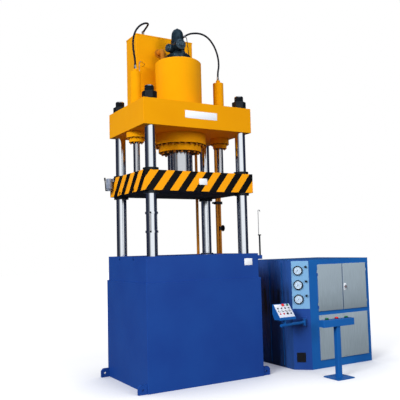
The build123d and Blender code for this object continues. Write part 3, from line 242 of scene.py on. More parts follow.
# %% [markdown]
# The hall is dark, with one broad light wall. A shaft shows the whole hall, squeezed sideways, and
# that draws its white middle and its dark navy edges. The wall fades out at the camera's left and
# ends sharply at its right, as the light on the photo's shafts does. The camera itself sees plain
# white, also through clear things, and paint is lit by an even grey that doesn't bleach it.

# %% Light hall
hall = ramp(
    sky, compass, (0.0, 0.012), (0.25, 0.015), (0.36, 0.05), (0.415, 0.45), (0.455, 1.0),
    (0.64, 1.0), (0.675, 0.015), (1.0, 0.012),
)
overhead = ramp(sky, split.outputs[2], (0.45, 0.0), (0.8, 1.0))
roofed = mix_colours(sky, overhead, hall, (0.42, 0.44, 0.48, 1))
navy_hall = mix_colours(sky, 1.0, roofed, (0.003, 0.008, 0.030, 1), "SCREEN")
plain = mix_colours(sky, ways["Is Glossy Ray"], (0.50, 0.51, 0.54, 1), navy_hall)
clear = mix_colours(sky, ways["Is Transmission Ray"], plain, white)
seen = mix_colours(sky, ways["Is Camera Ray"], clear, white)
background = add_node(sky, "Background", Color=seen, Strength=1.0)
add_node(sky, "OutputWorld", Surface=background.outputs[0])
print("world nodes", len(sky.nodes))

# %% [markdown]
# The floor reaches far out of the picture, so that no edge of it shows. One square face is enough
# for that. A grid of one cell makes it, because the grid comes with its corners and its face in
# place, lying flat.

# %% Floor sheet
floor_half = 40
floor_bm = bmesh.new()
bmesh.ops.create_grid(floor_bm, x_segments=1, y_segments=1, size=floor_half)
floor_mesh = bpy.data.meshes.new("floor")
floor_bm.to_mesh(floor_mesh)
floor_bm.free()
floor = bpy.data.objects.new("floor", floor_mesh)
scene_objects.link(floor)
print("floor width", 2 * floor_half)

# %% [markdown]
# The floor is white too, but it has to carry the press's soft shadow, or the press would float. A
# plain white floor would need much light to come out white, and that light would bleach the paint.
# This one glows a little, only for the camera, and the glow is dimmed where the press hides the
# sky from it. To all other rays it is a dull grey that throws little light back up. The floor
# belongs to the stage and not to the press.

# %% Floor paint
fade_reach = 20.0
floor_paint = bpy.data.materials.new("floor")
floor_paint.use_nodes = True
ground = floor_paint.node_tree
ground.nodes.clear()
rays = ground.nodes.new("ShaderNodeLightPath").outputs
grey_bounce, pale_floor = (0.11, 0.11, 0.12, 1), (0.62, 0.63, 0.65, 1)
floor_colour = mix_colours(ground, rays["Is Camera Ray"], grey_bounce, pale_floor)
matt = add_node(ground, "BsdfDiffuse", Color=floor_colour)
nearness = add_node(ground, "AmbientOcclusion", Distance=1.1)
nearness.samples = 12
open_share = ramp(ground, nearness.outputs["AO"], (0.42, 0.0), (0.66, 0.36), (0.985, 1.0))
shadow_tone = mix_colours(ground, open_share, (0.22, 0.24, 0.34, 1), white)
floor_place = ground.nodes.new("ShaderNodeTexCoord").outputs["Object"]
reach = add_node(ground, "VectorMath", Vector=floor_place)
reach.operation = "LENGTH"
far = sum_node(ground, "DIVIDE", reach.outputs["Value"], fade_reach)
far_share = ramp(ground, far, (0.12, 0.50), (0.5, 0.80))
seen_share = sum_node(ground, "MULTIPLY", rays["Is Camera Ray"], far_share)
glow = add_node(ground, "Emission", Color=shadow_tone, Strength=seen_share)
both = ground.nodes.new("ShaderNodeAddShader")
for socket, part in zip(both.inputs, (matt, glow)):
    feed(ground, socket, part.outputs[0])
add_node(ground, "OutputMaterial", Surface=both.outputs[0])
floor_mesh.materials.append(floor_paint)
print("floor nodes", len(ground.nodes))

# %% [markdown]
# Two large square lamps light the press. The stronger one stands far out at the left, so the left
# sides are a shade brighter than the fronts. A small or near lamp would draw hard shadows under
# the crown, and the photo has none. The lamps are hidden from reflections, because the chrome
# already has its hall.

# %% Lamps


def lamp(name, place, target, size, watts):
    """A square soft lamp that points at a target."""
    data = bpy.data.lights.new(name, "AREA")
    data.shape = "SQUARE"
    data.size = size
    data.energy = watts
    new = bpy.data.objects.new(name, data)
    new.location = place
    new.rotation_euler = (Vector(target) - Vector(place)).to_track_quat("-Z", "Y").to_euler()
    new.visible_glossy = False
    scene_objects.link(new)


lamp("key_lamp", (-21.0, -11.0, 12.0), (0, 0, 2.6), 8.0, 5600)
lamp("fill_lamp", (6.0, -24.0, 9.0), (1.5, 0, 1.5), 9.0, 2400)
print("lamps", len(bpy.data.lights))

# %% [markdown]
# Machine enamel is a smooth, hard paint. Up close it has a faint orange-peel texture, and over a
# metre its tone drifts a little. One flat colour would look like a drawing. So the colour mixes
# two close tones with a large noise, and a very fine noise makes the bump.

# %% Enamel


def enamel(name, tone, deeper, roughness=0.38, peel=0.2, shine=0.22):
    """Sprayed machine enamel in one colour, with a drift towards a deeper tone."""
    material, tree, shader, place = start_finish(name)
    drift = add_node(tree, "TexNoise", Vector=place, Scale=1.4, Detail=3.0, Roughness=0.5)
    share = ramp(tree, drift.outputs[0], (0.35, 0.0), (0.7, 1.0))
    cloud = add_node(tree, "TexNoise", Vector=place, Scale=5.0, Detail=3.0)
    gloss = ramp(tree, cloud.outputs[0], (0.3, roughness - 0.04), (0.75, roughness + 0.05))
    grain = add_node(tree, "TexNoise", Vector=place, Scale=260.0, Detail=2.0)
    set_sockets(
        tree, shader, Base_Color=mix_colours(tree, share, tone, deeper), Roughness=gloss,
        Normal=bumped(tree, grain.outputs[0], peel, 0.0006), Specular_IOR_Level=shine,
    )
    return material


# %% [markdown]
# Castings and blackened steel are rougher. Their tone is patchy on a scale of centimetres and their
# grain is sandy, so the same recipe gets a smaller noise for the colour and a stronger bump. The
# prefill valve and its machined covers are this finish too, with a share of bare metal in it.

# %% Castings


def casting(name, tone, deeper, roughness=0.5, metal=0.0):
    """Painted or blackened rough metal, with a sandy surface."""
    material, tree, shader, place = start_finish(name)
    patches = add_node(tree, "TexNoise", Vector=place, Scale=14.0, Detail=5.0)
    share = ramp(tree, patches.outputs[0], (0.35, 0.0), (0.7, 1.0))
    gloss = ramp(tree, patches.outputs[0], (0.3, roughness - 0.12), (0.7, roughness + 0.1))
    sand = add_node(tree, "TexNoise", Vector=place, Scale=420.0, Detail=3.0)
    set_sockets(
        tree, shader, Base_Color=mix_colours(tree, share, tone, deeper), Roughness=gloss,
        Normal=bumped(tree, sand.outputs[0], 0.35, 0.0008), Specular_IOR_Level=0.3,
        Metallic=metal,
    )
    return material


# %% [markdown]
# The cabinet's left wall is glossy sheet close beside the press, and it mirrors the dark gap in
# soft upright streaks. A true mirror would need a press hall to reflect, and this studio is white.
# So the streaks are a painted reflection: a noise drawn out upwards. They are faded by height and
# by depth, which paints the shade that falls on the wall.

# %% Streaked wall
ramp_top = 2.0  # a colour ramp runs from 0 to 1, so heights are taken as shares of 2 m


def painted_reflection_wall(name, tone, deeper):
    """Glossy sheet with a painted reflection of dark things beside it, and painted shade."""
    material, tree, shader, place = start_finish(name)
    upright = stretched(tree, place, (1.0, 6.0, 0.5))
    noise = add_node(tree, "TexNoise", Vector=upright, Scale=1.6, Detail=2.0)
    streaks = ramp(tree, noise.outputs[0], (0.30, 0.15), (0.58, 1.0))
    parts = add_node(tree, "SeparateXYZ", Vector=place)
    height = sum_node(tree, "DIVIDE", parts.outputs[2], ramp_top)
    shade_by_height = ramp(
        tree, height, (0.0, 0.75), (0.36, 0.6), (0.45, 1.0), (0.60, 1.0), (0.70, 0.25), (0.9, 0.1),
    )
    depth = sum_node(tree, "ADD", parts.outputs[1], 1.0)
    shade_by_depth = ramp(tree, depth, (0.36, 0.5), (0.6, 1.0))
    share = sum_node(tree, "MULTIPLY", sum_node(tree, "MULTIPLY", streaks, shade_by_height), shade_by_depth)
    gloss = ramp(tree, noise.outputs[0], (0.3, 0.22), (0.7, 0.34))
    set_sockets(
        tree, shader, Base_Color=mix_colours(tree, share, tone, deeper), Roughness=gloss,
        Normal=bumped(tree, noise.outputs[0], 0.3, 0.004), Specular_IOR_Level=0.35,
    )
    return material


# %% [markdown]
# The paints are then mixed, each from a tone and a slightly deeper one. The press's yellow is
# nearly matt, the blues shine a little more, and the near black that paints the shade under the
# slide hardly shines at all.

# %% Paints
yellow = enamel(
    "press_yellow", linear(232, 158, 5), linear(226, 150, 4), roughness=0.55, shine=0.07,
)
blue = enamel("press_blue", linear(28, 70, 148), linear(25, 62, 140))
# painted shade: the cabinet's blue a tone deeper on the bevelled corner
shaded_bevel_blue = enamel("shaded_bevel_blue", linear(34, 72, 146), linear(30, 64, 136))
# painted reflection of the dark gap and painted shade on the cabinet's left wall
left_wall_reflection_shade = painted_reflection_wall("left_wall_reflection_shade", linear(48, 90, 166), linear(20, 26, 44))
cabinet_blue = enamel("cabinet_blue", linear(24, 96, 170), linear(22, 88, 162))
panel_blue = enamel("panel_blue", linear(124, 172, 212), linear(118, 165, 206), roughness=0.45)
motor_grey = enamel("motor_grey", linear(92, 100, 110), linear(84, 92, 102), roughness=0.45)
# a darker ochre that is painted shade, on the pipes, their elbow and the gland screws
shaded_ochre = enamel("shaded_ochre", linear(200, 126, 30), linear(168, 102, 26), roughness=0.45)
grease_grey = casting("grease_grey", linear(150, 160, 178), linear(96, 108, 128))
black_steel = casting("black_steel", linear(20, 27, 34), linear(11, 15, 20), roughness=0.42)
valve_casting = casting(
    "valve_casting", linear(52, 74, 88), linear(20, 32, 42), roughness=0.27, metal=0.65,
)
cover_steel = casting(
    "cover_steel", linear(84, 108, 124), linear(50, 68, 82), roughness=0.34, metal=0.6,
)
# a near black that is painted shade, under the slide and under the flanges and glands
underside_shade_black = casting("underside_shade_black", linear(9, 9, 11), linear(5, 5, 6), roughness=0.7)
print("materials so far", len(bpy.data.materials))

# %% [markdown]
# Bare metal comes in three kinds on shafts and fittings: the hard chrome of the columns, the
# duller ground steel of the ram and the two rods, and zinc plating. Grinding leaves fine lines
# round a shaft, and an even noise can't show them. So the noise is squeezed along the shaft and
# drawn out across it, and it moves the tone, the roughness and the bump together.

# %% Metal finishes
ground_lines = (2.0, 2.0, 700.0)


def lined_metal(name, tone, roughness, stretch, lines, spread=0.06):
    """Metal with fine lines that run across the axis along which the noise is squeezed."""
    material, tree, shader, place = start_finish(name)
    along = stretched(tree, place, stretch)
    noise = add_node(tree, "TexNoise", Vector=along, Scale=1.0, Detail=3.0)
    finest = max(roughness - spread, 0.02)
    share = ramp(tree, noise.outputs[0], (0.3, 0.0), (0.7, 0.2))
    darker = tuple(part * 0.75 for part in tone[:3]) + (1,)
    set_sockets(
        tree, shader, Base_Color=mix_colours(tree, share, tone, darker),
        Roughness=ramp(tree, noise.outputs[0], (0.3, finest), (0.7, roughness + spread)),
        Normal=bumped(tree, noise.outputs[0], lines, 0.0003), Metallic=1.0,
    )
    return material


chrome = lined_metal("ground_chrome", (0.84, 0.89, 0.95, 1), 0.09, ground_lines, 0.01, 0.02)
ram_steel = lined_metal("ground_steel", (0.60, 0.62, 0.66, 1), 0.17, ground_lines, 0.02, 0.03)
zinc = lined_metal("bright_fitting", (0.62, 0.63, 0.65, 1), 0.34, (60.0, 60.0, 400.0), 0.1)
print("materials so far", len(bpy.data.materials))

# %% [markdown]
# The cabinet's doors and its lower cover are brushed sheet. It is only partly metallic, because
# its lacquer shows more of its own grey than of the room. The brushing runs up the sheet, in soft
# bands, and each sheet is darker towards its foot. A photo would do as a texture, but it would be
# stuck at one size, and a pattern in metres fits the doors and the cover alike.

# %% Brushed sheet


def brushed_sheet(name, tone, deeper):
    """Brushed sheet of doors and covers: upright lines, soft bands, darker towards each foot."""
    material, tree, shader, place = start_finish(name)
    lines = add_node(tree, "TexNoise", Vector=stretched(tree, place, (500.0, 500.0, 5.0)))
    bands = add_node(tree, "TexNoise", Vector=stretched(tree, place, (22.0, 22.0, 0.9)))
    parts = add_node(tree, "SeparateXYZ", Vector=place)
    foot_darkening = ramp(
        tree, sum_node(tree, "DIVIDE", parts.outputs[2], ramp_top), (0.05, 0.55), (0.30, 0.35),
        (0.41, 0.05), (0.44, 0.9), (0.50, 0.6), (0.62, 0.2), (0.82, 0.0),
    )
    banded = ramp(tree, bands.outputs[0], (0.35, 0.0), (0.7, 1.0))
    share = sum_node(tree, "ADD", foot_darkening, sum_node(tree, "MULTIPLY", banded, 0.35))
    set_sockets(
        tree, shader, Base_Color=mix_colours(tree, share, tone, deeper),
        Roughness=ramp(tree, lines.outputs[0], (0.3, 0.44), (0.7, 0.56)),
        Normal=bumped(tree, lines.outputs[0], 0.25, 0.0003), Metallic=0.2,
    )
    return material


door_steel = brushed_sheet("door_steel", linear(176, 192, 202), linear(136, 150, 158))
print("materials so far", len(bpy.data.materials))

# %% [markdown]
# Buttons, lamps, hoses, labels and dials are plastic, rubber or printed card. Their colour is even
# and their surface nearly so. A grain too fine to see as grain still softens their highlight, and
# it tints the colour by a hair.

# %% Plastics and rubber


def plastic(name, tone, roughness=0.3, shine=0.4):
    """Moulded plastic with a very fine grain."""
    material, tree, shader, place = start_finish(name)
    grain = add_node(tree, "TexNoise", Vector=place, Scale=900.0, Detail=1.0)
    tint = ramp(tree, grain.outputs[0], (0.4, 0.0), (0.6, 1.0))
    paler = tuple(min(1.0, part * 1.12 + 0.004) for part in tone[:3]) + (1,)
    set_sockets(
        tree, shader, Base_Color=mix_colours(tree, tint, tone, paler), Roughness=roughness,
        Normal=bumped(tree, grain.outputs[0], 0.08, 0.0002), Specular_IOR_Level=shine,
    )
    return material


red_plastic = plastic("button_red", linear(214, 30, 34))
green_plastic = plastic("button_green", linear(18, 104, 62))
white_plastic = plastic("button_white", linear(206, 210, 212))
black_plastic = plastic("black_plastic", linear(16, 18, 24), roughness=0.4)
lens_plastic = plastic("lamp_lens", linear(40, 46, 58), roughness=0.15)
red_lens = plastic("red_lens", linear(190, 34, 40), roughness=0.15)
rubber = plastic("hose_rubber", linear(16, 20, 30), roughness=0.42, shine=0.25)
plate_white = plastic("plate_white", linear(232, 235, 240), roughness=0.5, shine=0.2)
dial_white = plastic("dial_white", linear(178, 204, 226), roughness=0.5, shine=0.15)
panel_grey = plastic("panel_grey", linear(202, 208, 220), roughness=0.45, shine=0.2)
print("materials so far", len(bpy.data.materials))

# %% [markdown]
# Most pieces keep the shape they have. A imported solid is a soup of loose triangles, so its copy is
# merged and its flat regions are joined into whole faces. Faces of more than four corners are then
# cut into triangles again, because a flat with holes in it can fill in wrongly.

# %% Copy a solid
sharp_angle = radians(34)
flat_angle = radians(0.5)
merge_distance = 0.00002


def merged_copy(node):
    """A bmesh of a node with its corners merged and its flats cut up cleanly."""
    bm = bmesh.new()
    bm.from_mesh(frame["nodes"][node].data)
    bmesh.ops.remove_doubles(bm, verts=bm.verts, dist=merge_distance)
    bmesh.ops.dissolve_limit(bm, angle_limit=flat_angle, verts=bm.verts, edges=bm.edges)
    bmesh.ops.triangulate(bm, faces=[face for face in bm.faces if len(face.verts) > 4])
    return bm


def shade(bm):
    """Smooth faces that break at true edges."""
    for face in bm.faces:
        face.smooth = True
    for edge in bm.edges:
        if len(edge.link_faces) == 2 and edge.calc_face_angle(0.0) > sharp_angle:
            edge.smooth = False


# %% [markdown]
# A finished piece is a mesh with its finishes and the body that it rides on.
# Its true edges get a small rounding that catches the light. A bevel in the mesh would do that too,
# but a modifier keeps it to one number a piece. The piece then stands for the solids it covers.
# Some solids carry several paints, so a second helper repaints a piece by a rule for its faces.

# %% Make and repaint a piece


def make_piece(name, bm, finishes, body, stands_for=(), rounding=0.0):
    """Turns a bmesh into a finished piece that rides on a body."""
    shade(bm)
    mesh = bpy.data.meshes.new(name)
    bm.to_mesh(mesh)
    bm.free()
    for finish in finishes:
        mesh.materials.append(finish)
    piece = bpy.data.objects.new(name, mesh)
    scene_objects.link(piece)
    if rounding:
        bevel = piece.modifiers.new("rounded edges", "BEVEL")
        bevel.width = rounding
        bevel.segments = 2
        bevel.limit_method = "ANGLE"
        bevel.angle_limit = sharp_angle
        bevel.harden_normals = True
    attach(piece, body)
    if stands_for:
        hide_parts(*stands_for)
    print(name, "faces", len(mesh.polygons))


def repaint(node, finishes, choose):
    """Adds finishes to a dressed node; a rule gives each face the number of its own."""
    mesh = bpy.data.objects[node + "_dressed"].data
    for finish in finishes:
        mesh.materials.append(finish)
    for face in mesh.polygons:
        face.material_index = int(choose(face))
    print(node, "faces repainted", sum(face.material_index > 0 for face in mesh.polygons))


# %% [markdown]
# Each solid has a slot, which says what it is made of, and most nodes get the finish of their slot.
# Five differ: the pipes and their elbow, whose darker ochre is painted shade, the zinc lock, and
# the ram and rods, whose ground steel is duller than the columns' chrome. A finish could be
# written beside each of the sixty nodes, but two short tables are easier to check.

# %% Usual finishes
finish_of = {
    "press_yellow": yellow, "press_blue": blue, "cabinet_blue": cabinet_blue,
    "panel_blue": panel_blue, "ground_chrome": chrome, "black_steel": black_steel,
    "valve_casting": valve_casting, "bright_fitting": zinc, "door_steel": door_steel,
    "grease_grey": grease_grey, "button_red": red_plastic, "button_green": green_plastic,
    "button_white": white_plastic, "lamp_lens": lens_plastic, "motor_grey": motor_grey,
}
own_finish = {
    "oil_pipes": shaded_ochre, "suction_elbow": shaded_ochre, "door_lock": zinc, "ram": ram_steel,
    "side_rods": ram_steel,
}
print("slots", len(finish_of), "exceptions", len(own_finish))

# %% [markdown]
# Heavy welded and cast pieces have edges rounded by 3 or 4 mm, machined ones by 1 or 2, and small
# controls by none that shows. The slide, the hoses and the gauges are made in their own steps
# below, and one loop dresses all the others.

# %% Dress the plain nodes
nodes_by_rounding = {
    0.004: ("base_stand", "bed", "crown"),
    0.003: ("filling_tank", "main_cylinder", "side_cylinders", "column_nuts"),
    0.002: (
        "main_gland", "side_glands", "guide_bushes", "pedestal_stand", "pedestal_box",
        "console_box", "grease_pump", "pipe_fittings",
    ),
    0.0015: ("lower_panel", "cabinet_shell"),
    0.001: (
        "gauge_panel", "console_arm", "pump_lever", "trip_rod", "column_scale", "door_lock",
    ),
}
rounding_of = {node: size for size, nodes in nodes_by_rounding.items() for node in nodes}
made_elsewhere = {"slide", "hose_left", "hose_right", "gauge_cases"}
for node, body in body_of.items():
    if node not in made_elsewhere:
        slot = slot_of[node]
        finish = own_finish.get(node, finish_of[slot])
        rounding = rounding_of.get(node, 0.0)
        make_piece(node + "_dressed", merged_copy(node), [finish], body, [node], rounding)
print("dressed", len(body_of) - len(made_elsewhere))

# %% [markdown]
# Two pressure hoses stand free over the crown. Such a hose is stiff, so it keeps a wide, even arch
# between its two fittings. A few listed points lead it, and they are the points of its solid too.
# A formula would save them, but it wouldn't know how the hose was hung.

# %% Hose routes
hose_thickness = 0.030
hose_routes = {
    "hose_left": (
        1.249,
        ((-0.745, 0, 4.752), (-0.745, 0, 4.84), (-0.765, 0, 4.95), (-0.778, 0, 5.08),
         (-0.762, 0.004, 5.205), (-0.716, 0.014, 5.315), (-0.64, 0.034, 5.405),
         (-0.545, 0.07, 5.47), (-0.455, 0.14, 5.51), (-0.395, 0.24, 5.535),
         (-0.375, 0.345, 5.53), (-0.387, 0.43, 5.49)),
    ),
    "hose_right": (
        1.157,
        ((0.142, 0, 5.352), (0.2, 0, 5.392), (0.29, 0, 5.422), (0.4, 0, 5.44), (0.51, 0, 5.425),
         (0.605, 0, 5.37), (0.685, 0, 5.275), (0.74, 0, 5.16), (0.768, 0, 5.035),
         (0.768, 0, 4.915), (0.745, 0, 4.825), (0.745, 0, 4.752)),
    ),
}
print("hoses", len(hose_routes))

# %% [markdown]
# A tube swept along straight runs would look like bent wire. So each hose is one smooth spline that
# is led by its points, and the curve's own bevel gives it a round section. It stays a curve, so its
# length and thickness can be measured against what is declared for it.

# %% Hoses
for hose_name, (hose_length, route) in hose_routes.items():
    curve = bpy.data.curves.new(hose_name + "_rubber", "CURVE")
    curve.dimensions = "3D"
    spline = curve.splines.new("NURBS")
    spline.points.add(len(route) - 1)
    for point, place in zip(spline.points, route):
        point.co = (*place, 1)
    spline.order_u = 3
    spline.use_endpoint_u = True
    spline.resolution_u = 10
    curve.bevel_depth = hose_thickness / 2
    curve.bevel_resolution = 6
    curve.materials.append(rubber)
    hose = bpy.data.objects.new(hose_name + "_rubber", curve)
    scene_objects.link(hose)
    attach(hose, "root")
    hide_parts(hose_name)
    print(hose_name, "points", len(route), "metres", hose_length)

# %% [markdown]
# The slide carries warning stripes on its four sides. A painter masks them as one band that runs
# round the corners, so the pattern needs a coordinate that unrolls the sides. The piece gets a UV
# map whose U is the distance round the slide and whose V is the height, and the stripes are a
# sawtooth of U and V. Object coordinates alone would slant the stripes wrongly on two sides.

# %% Stripe paint
stripe_pitch = 0.26
stripe_share = 0.51
stripe_lean = 0.22 / 0.29
stripe_start = -0.05
whole_pitches = 40.0  # keeps the count of stripes above zero all the way round
slide_low, slide_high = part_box("slide")
print("slide from", slide_low, "to", slide_high)


def stripe_paint():
    """Slanted yellow and black bands along the unrolled sides."""
    material, tree, shader, place = start_finish("slide_stripes")
    unrolled = tree.nodes.new("ShaderNodeUVMap")
    unrolled.uv_map = "unrolled"
    parts = add_node(tree, "SeparateXYZ", Vector=unrolled.outputs[0])
    drop = sum_node(tree, "SUBTRACT", slide_high.z, parts.outputs[1])
    leaned = sum_node(tree, "MULTIPLY", drop, stripe_lean)
    along = sum_node(tree, "ADD", parts.outputs[0], leaned)
    counted = sum_node(
        tree, "DIVIDE", sum_node(tree, "SUBTRACT", along, stripe_start), stripe_pitch,
    )
    phase = sum_node(tree, "FRACT", sum_node(tree, "ADD", counted, whole_pitches))
    black = sum_node(tree, "GREATER_THAN", phase, stripe_share)
    grain = add_node(tree, "TexNoise", Vector=place, Scale=260.0, Detail=2.0)
    set_sockets(
        tree, shader, Roughness=0.45, Specular_IOR_Level=0.15,
        Base_Color=mix_colours(tree, black, linear(250, 164, 8), linear(12, 12, 14)),
        Normal=bumped(tree, grain.outputs[0], 0.2, 0.0006),
    )
    return material


# %% [markdown]
# Each face of the slide's copy gets its finish by where it lies: the sides are striped, the top
# and the bores are yellow, and the underside with its two grooves gets a near black that paints
# its shade. A second helper says how far round the slide a corner lies, which is the U of the
# stripes. The slide could be cut into parts for this, but two rules leave it whole.

# %% Rules for the slide's faces
side_squeeze = 0.9  # the stripes are a little wider on the slide's sides
groove_depth = 0.056
skin = 0.002
half_x, half_y = slide_high.x, slide_high.y
print("half width", half_x, "half depth", half_y)


def slide_finish(face):
    """The number of a face's finish: 0 striped, 1 plain yellow, 2 painted shade underneath."""
    middle = face.calc_center_median()
    inside = abs(middle.x) < half_x - skin and abs(middle.y) < half_y - skin
    if face.normal.z > 0.5 and middle.z > slide_high.z - skin:
        return 1
    if face.normal.z < -0.5 or (inside and middle.z < slide_low.z + groove_depth):
        return 2
    return 1 if inside else 0


def unrolled_distance(normal, x, y):
    """How far round the slide a corner lies, counted from the middle of the front."""
    if abs(normal.x) <= abs(normal.y):
        return x if normal.y < 0 else 2 * half_x + 2 * half_y - x
    beside = half_x + side_squeeze * (half_y + y)
    return -beside if normal.x < 0 else beside


# %% [markdown]
# One walk over the faces then does both. The unrolled coordinate belongs to each face's own corners
# and not to the points that the faces share, because two sides disagree about it where they meet.

# %% Striped slide
slide_bm = merged_copy("slide")
unrolled_map = slide_bm.loops.layers.uv.new("unrolled")
for face in slide_bm.faces:
    face.material_index = slide_finish(face)
    for loop in face.loops:
        x, y, z = loop.vert.co
        loop[unrolled_map].uv = (unrolled_distance(face.normal, x, y), z)
make_piece(
    "slide_dressed", slide_bm, [stripe_paint(), yellow, underside_shade_black], "slide",
    ["slide"], 0.003,
)

# %% [markdown]
# The small pieces are blocks and turned pieces. Nearly all are made lying flat at the origin, where
# their numbers are easy to read, and a matrix then puts them in place. Three angles could do that
# too, but two directions, outward and upward, are easier to get right.

# %% Places and blocks


def place_matrix(centre, outward, upward=(0, 0, 1)):
    """A place whose Z points outward, and whose Y points up as far as it can."""
    z_way = Vector(outward).normalized()
    y_way = Vector(upward)
    y_way = (y_way - y_way.dot(z_way) * z_way).normalized()
    x_way = y_way.cross(z_way)
    turn = Matrix((x_way, y_way, z_way)).transposed().to_4x4()
    return Matrix.Translation(Vector(centre)) @ turn


def add_block(bm, size, place, rounding=0.0):
    """A block of a size, centred on its place, with rounded edges."""
    made = bmesh.ops.create_cube(bm, size=1.0)["verts"]
    bmesh.ops.scale(bm, vec=size, verts=made)
    if rounding:
        edges = list({edge for vert in made for edge in vert.link_edges})
        made_faces = bmesh.ops.bevel(
            bm, geom=edges, offset=rounding, segments=2, profile=0.5, affect="EDGES", material=-1,
        )["faces"]
        made = list({vert for face in made_faces for vert in face.verts})
    bmesh.ops.transform(bm, matrix=place, verts=made)


# %% [markdown]
# Round pieces are turned: a profile of radius and height is drawn as a chain of edges and spun
# about the axis. A ready-made cylinder with bevels could do for some, but a profile says where
# each step and chamfer lies. A full spin meets itself in a seam, which is merged afterwards.

# %% Turned shapes
seam_distance = 0.00001


def add_turned(bm, profile, place, steps=32):
    """Spins a profile of (radius, height) points into a closed round shape."""
    before = set(bm.verts)
    chain = [bm.verts.new((radius, 0, height)) for radius, height in profile]
    edges = [bm.edges.new(pair) for pair in zip(chain, chain[1:])]
    bmesh.ops.spin(
        bm, geom=chain + edges, cent=(0, 0, 0), axis=(0, 0, 1), dvec=(0, 0, 0), angle=2 * pi,
        steps=steps, use_merge=True, use_duplicate=False,
    )
    new = [vert for vert in bm.verts if vert not in before]
    bmesh.ops.remove_doubles(bm, verts=new, dist=seam_distance)
    new = [vert for vert in bm.verts if vert not in before]
    faces = list({face for vert in new for face in vert.link_faces})
    bmesh.ops.recalc_face_normals(bm, faces=faces)
    bmesh.ops.transform(bm, matrix=place, verts=new)
    return faces


# %% [markdown]
# Each column ends in threaded studs, blackened like their nuts, and the shaft between is chromed.
# Both are one solid, so the copy gets two finishes by height. A bump could fake the thread, but the
# upper studs stand out against the white and need its ragged outline. A stack of turned ridges
# gives that, and nobody sees that it isn't a helix.

# %% Column studs
crown_low, crown_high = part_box("crown")
bed_low, bed_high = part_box("bed")
repaint(
    "columns", [black_steel],
    lambda face: face.center.z > crown_high.z or face.center.z < bed_low.z,
)
column_x, column_y = 0.775, 0.545
stud_radius = 0.0675
core, root, ridge = stud_radius - 0.001, stud_radius + 0.0002, stud_radius + 0.0022
thread_pitch, thread_flat = 0.006, 0.0004
stud_chamfer = 0.008
thread_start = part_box("column_nuts")[1].z + 0.001
thread_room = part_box("columns")[1].z - stud_chamfer - thread_start
ridge_count = int(thread_room / thread_pitch)
thread_end = thread_start + ridge_count * thread_pitch
thread_profile = [(core, thread_start)]
for i in range(ridge_count):
    ridge_low = thread_start + i * thread_pitch
    thread_profile += [(root, ridge_low + thread_flat), (ridge, ridge_low + thread_pitch / 2)]
thread_profile += [(root, thread_end), (core, thread_end), (core, thread_start)]
thread_bm = bmesh.new()
for x in (-column_x, column_x):
    for y in (-column_y, column_y):
        add_turned(thread_bm, thread_profile, Matrix.Translation((x, y, 0)), 40)
make_piece("column_threads", thread_bm, [black_steel], "root")

# %% [markdown]
# The glands are painted with their screws in place. Those heads get the darker ochre, a painted
# shade, and only the valve's own screws are dark. The undersides of the flanges and glands hang in
# the crown's shade, and the slide's near black paints that shade on them. Each of these solids is
# one mesh, and a rule for its faces spares cutting it up.

# %% Screw heads and flange undersides
repaint("cap_screws", [shaded_ochre], lambda face: face.center.z < crown_low.z)
for node in ("main_cylinder", "main_gland", "side_cylinders", "side_glands"):
    repaint(
        node, [underside_shade_black],
        lambda face: face.normal.z < -0.9 and face.center.z < crown_low.z,
    )

# %% [markdown]
# Three more pieces are one solid with several finishes. The scale's clamps hug the column and are
# chromed, the rail between them is bright and only the knobs are black. The trip rod stands on a
# painted foot and ends in a grey hook. Of the two thin lines only the valve's own is black. Where
# a face lies is enough to tell them apart, so each solid has one short rule.

# %% Pieces of several finishes
scale_low, scale_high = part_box("column_scale")
clamp_height = 0.031
clamp_reach = 0.0935
rod_low, rod_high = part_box("trip_rod")
foot_height = 0.0605
hook_length = 0.32


def scale_finish(face):
    """0 for the knobs, 1 for the clamps and 2 for the rail."""
    from_axis = Vector((face.center.x + column_x, face.center.y + column_y)).length
    if from_axis < clamp_reach:
        return 1
    on_rail = scale_low.z + clamp_height < face.center.z < scale_high.z - clamp_height
    return 2 if on_rail else 0


def rod_finish(face):
    """0 for the rod, 1 for its foot and 2 for its hook."""
    if face.center.z < rod_low.z + foot_height:
        return 1
    return 2 if face.center.z > rod_high.z - hook_length else 0


repaint("column_scale", [chrome, zinc], scale_finish)
repaint("trip_rod", [blue, zinc], rod_finish)
repaint("small_lines", [black_steel], lambda face: face.center.x > 0)

# %% [markdown]
# The prefill valve on top of the main cylinder is held by rings of hexagon screws. Such a head
# needs no mesh of its own: it is a turned profile spun in six steps. A helper sets a ring of them
# round the axis of any place, so that a flange's screws are one call.

# %% Hexagon screws


def hex_head(radius, height, chamfer):
    """The profile of a hexagon head with a chamfered top."""
    return ((0, height), (radius - chamfer, height), (radius, height - 0.003), (radius, 0), (0, 0))


def add_bolt_ring(bm, place, ring_radius, seat, profile, count=8):
    """A ring of hexagon heads round a place's Z axis, at a height over it."""
    for i in range(count):
        turn = Matrix.Rotation(2 * pi * (i + 0.5) / count, 4, "Z")
        spot = turn @ Matrix.Translation((ring_radius, 0, seat))
        add_turned(bm, profile, place @ spot, 6)


# %% [markdown]
# The valve is a rough casting that stands on a wide skirt. The skirt is round, so it is turned from
# its flat flange up to its neck, and it gets the casting's finish. It could be painted on the
# solid, but its flange throws a shadow and its screws need a seat.

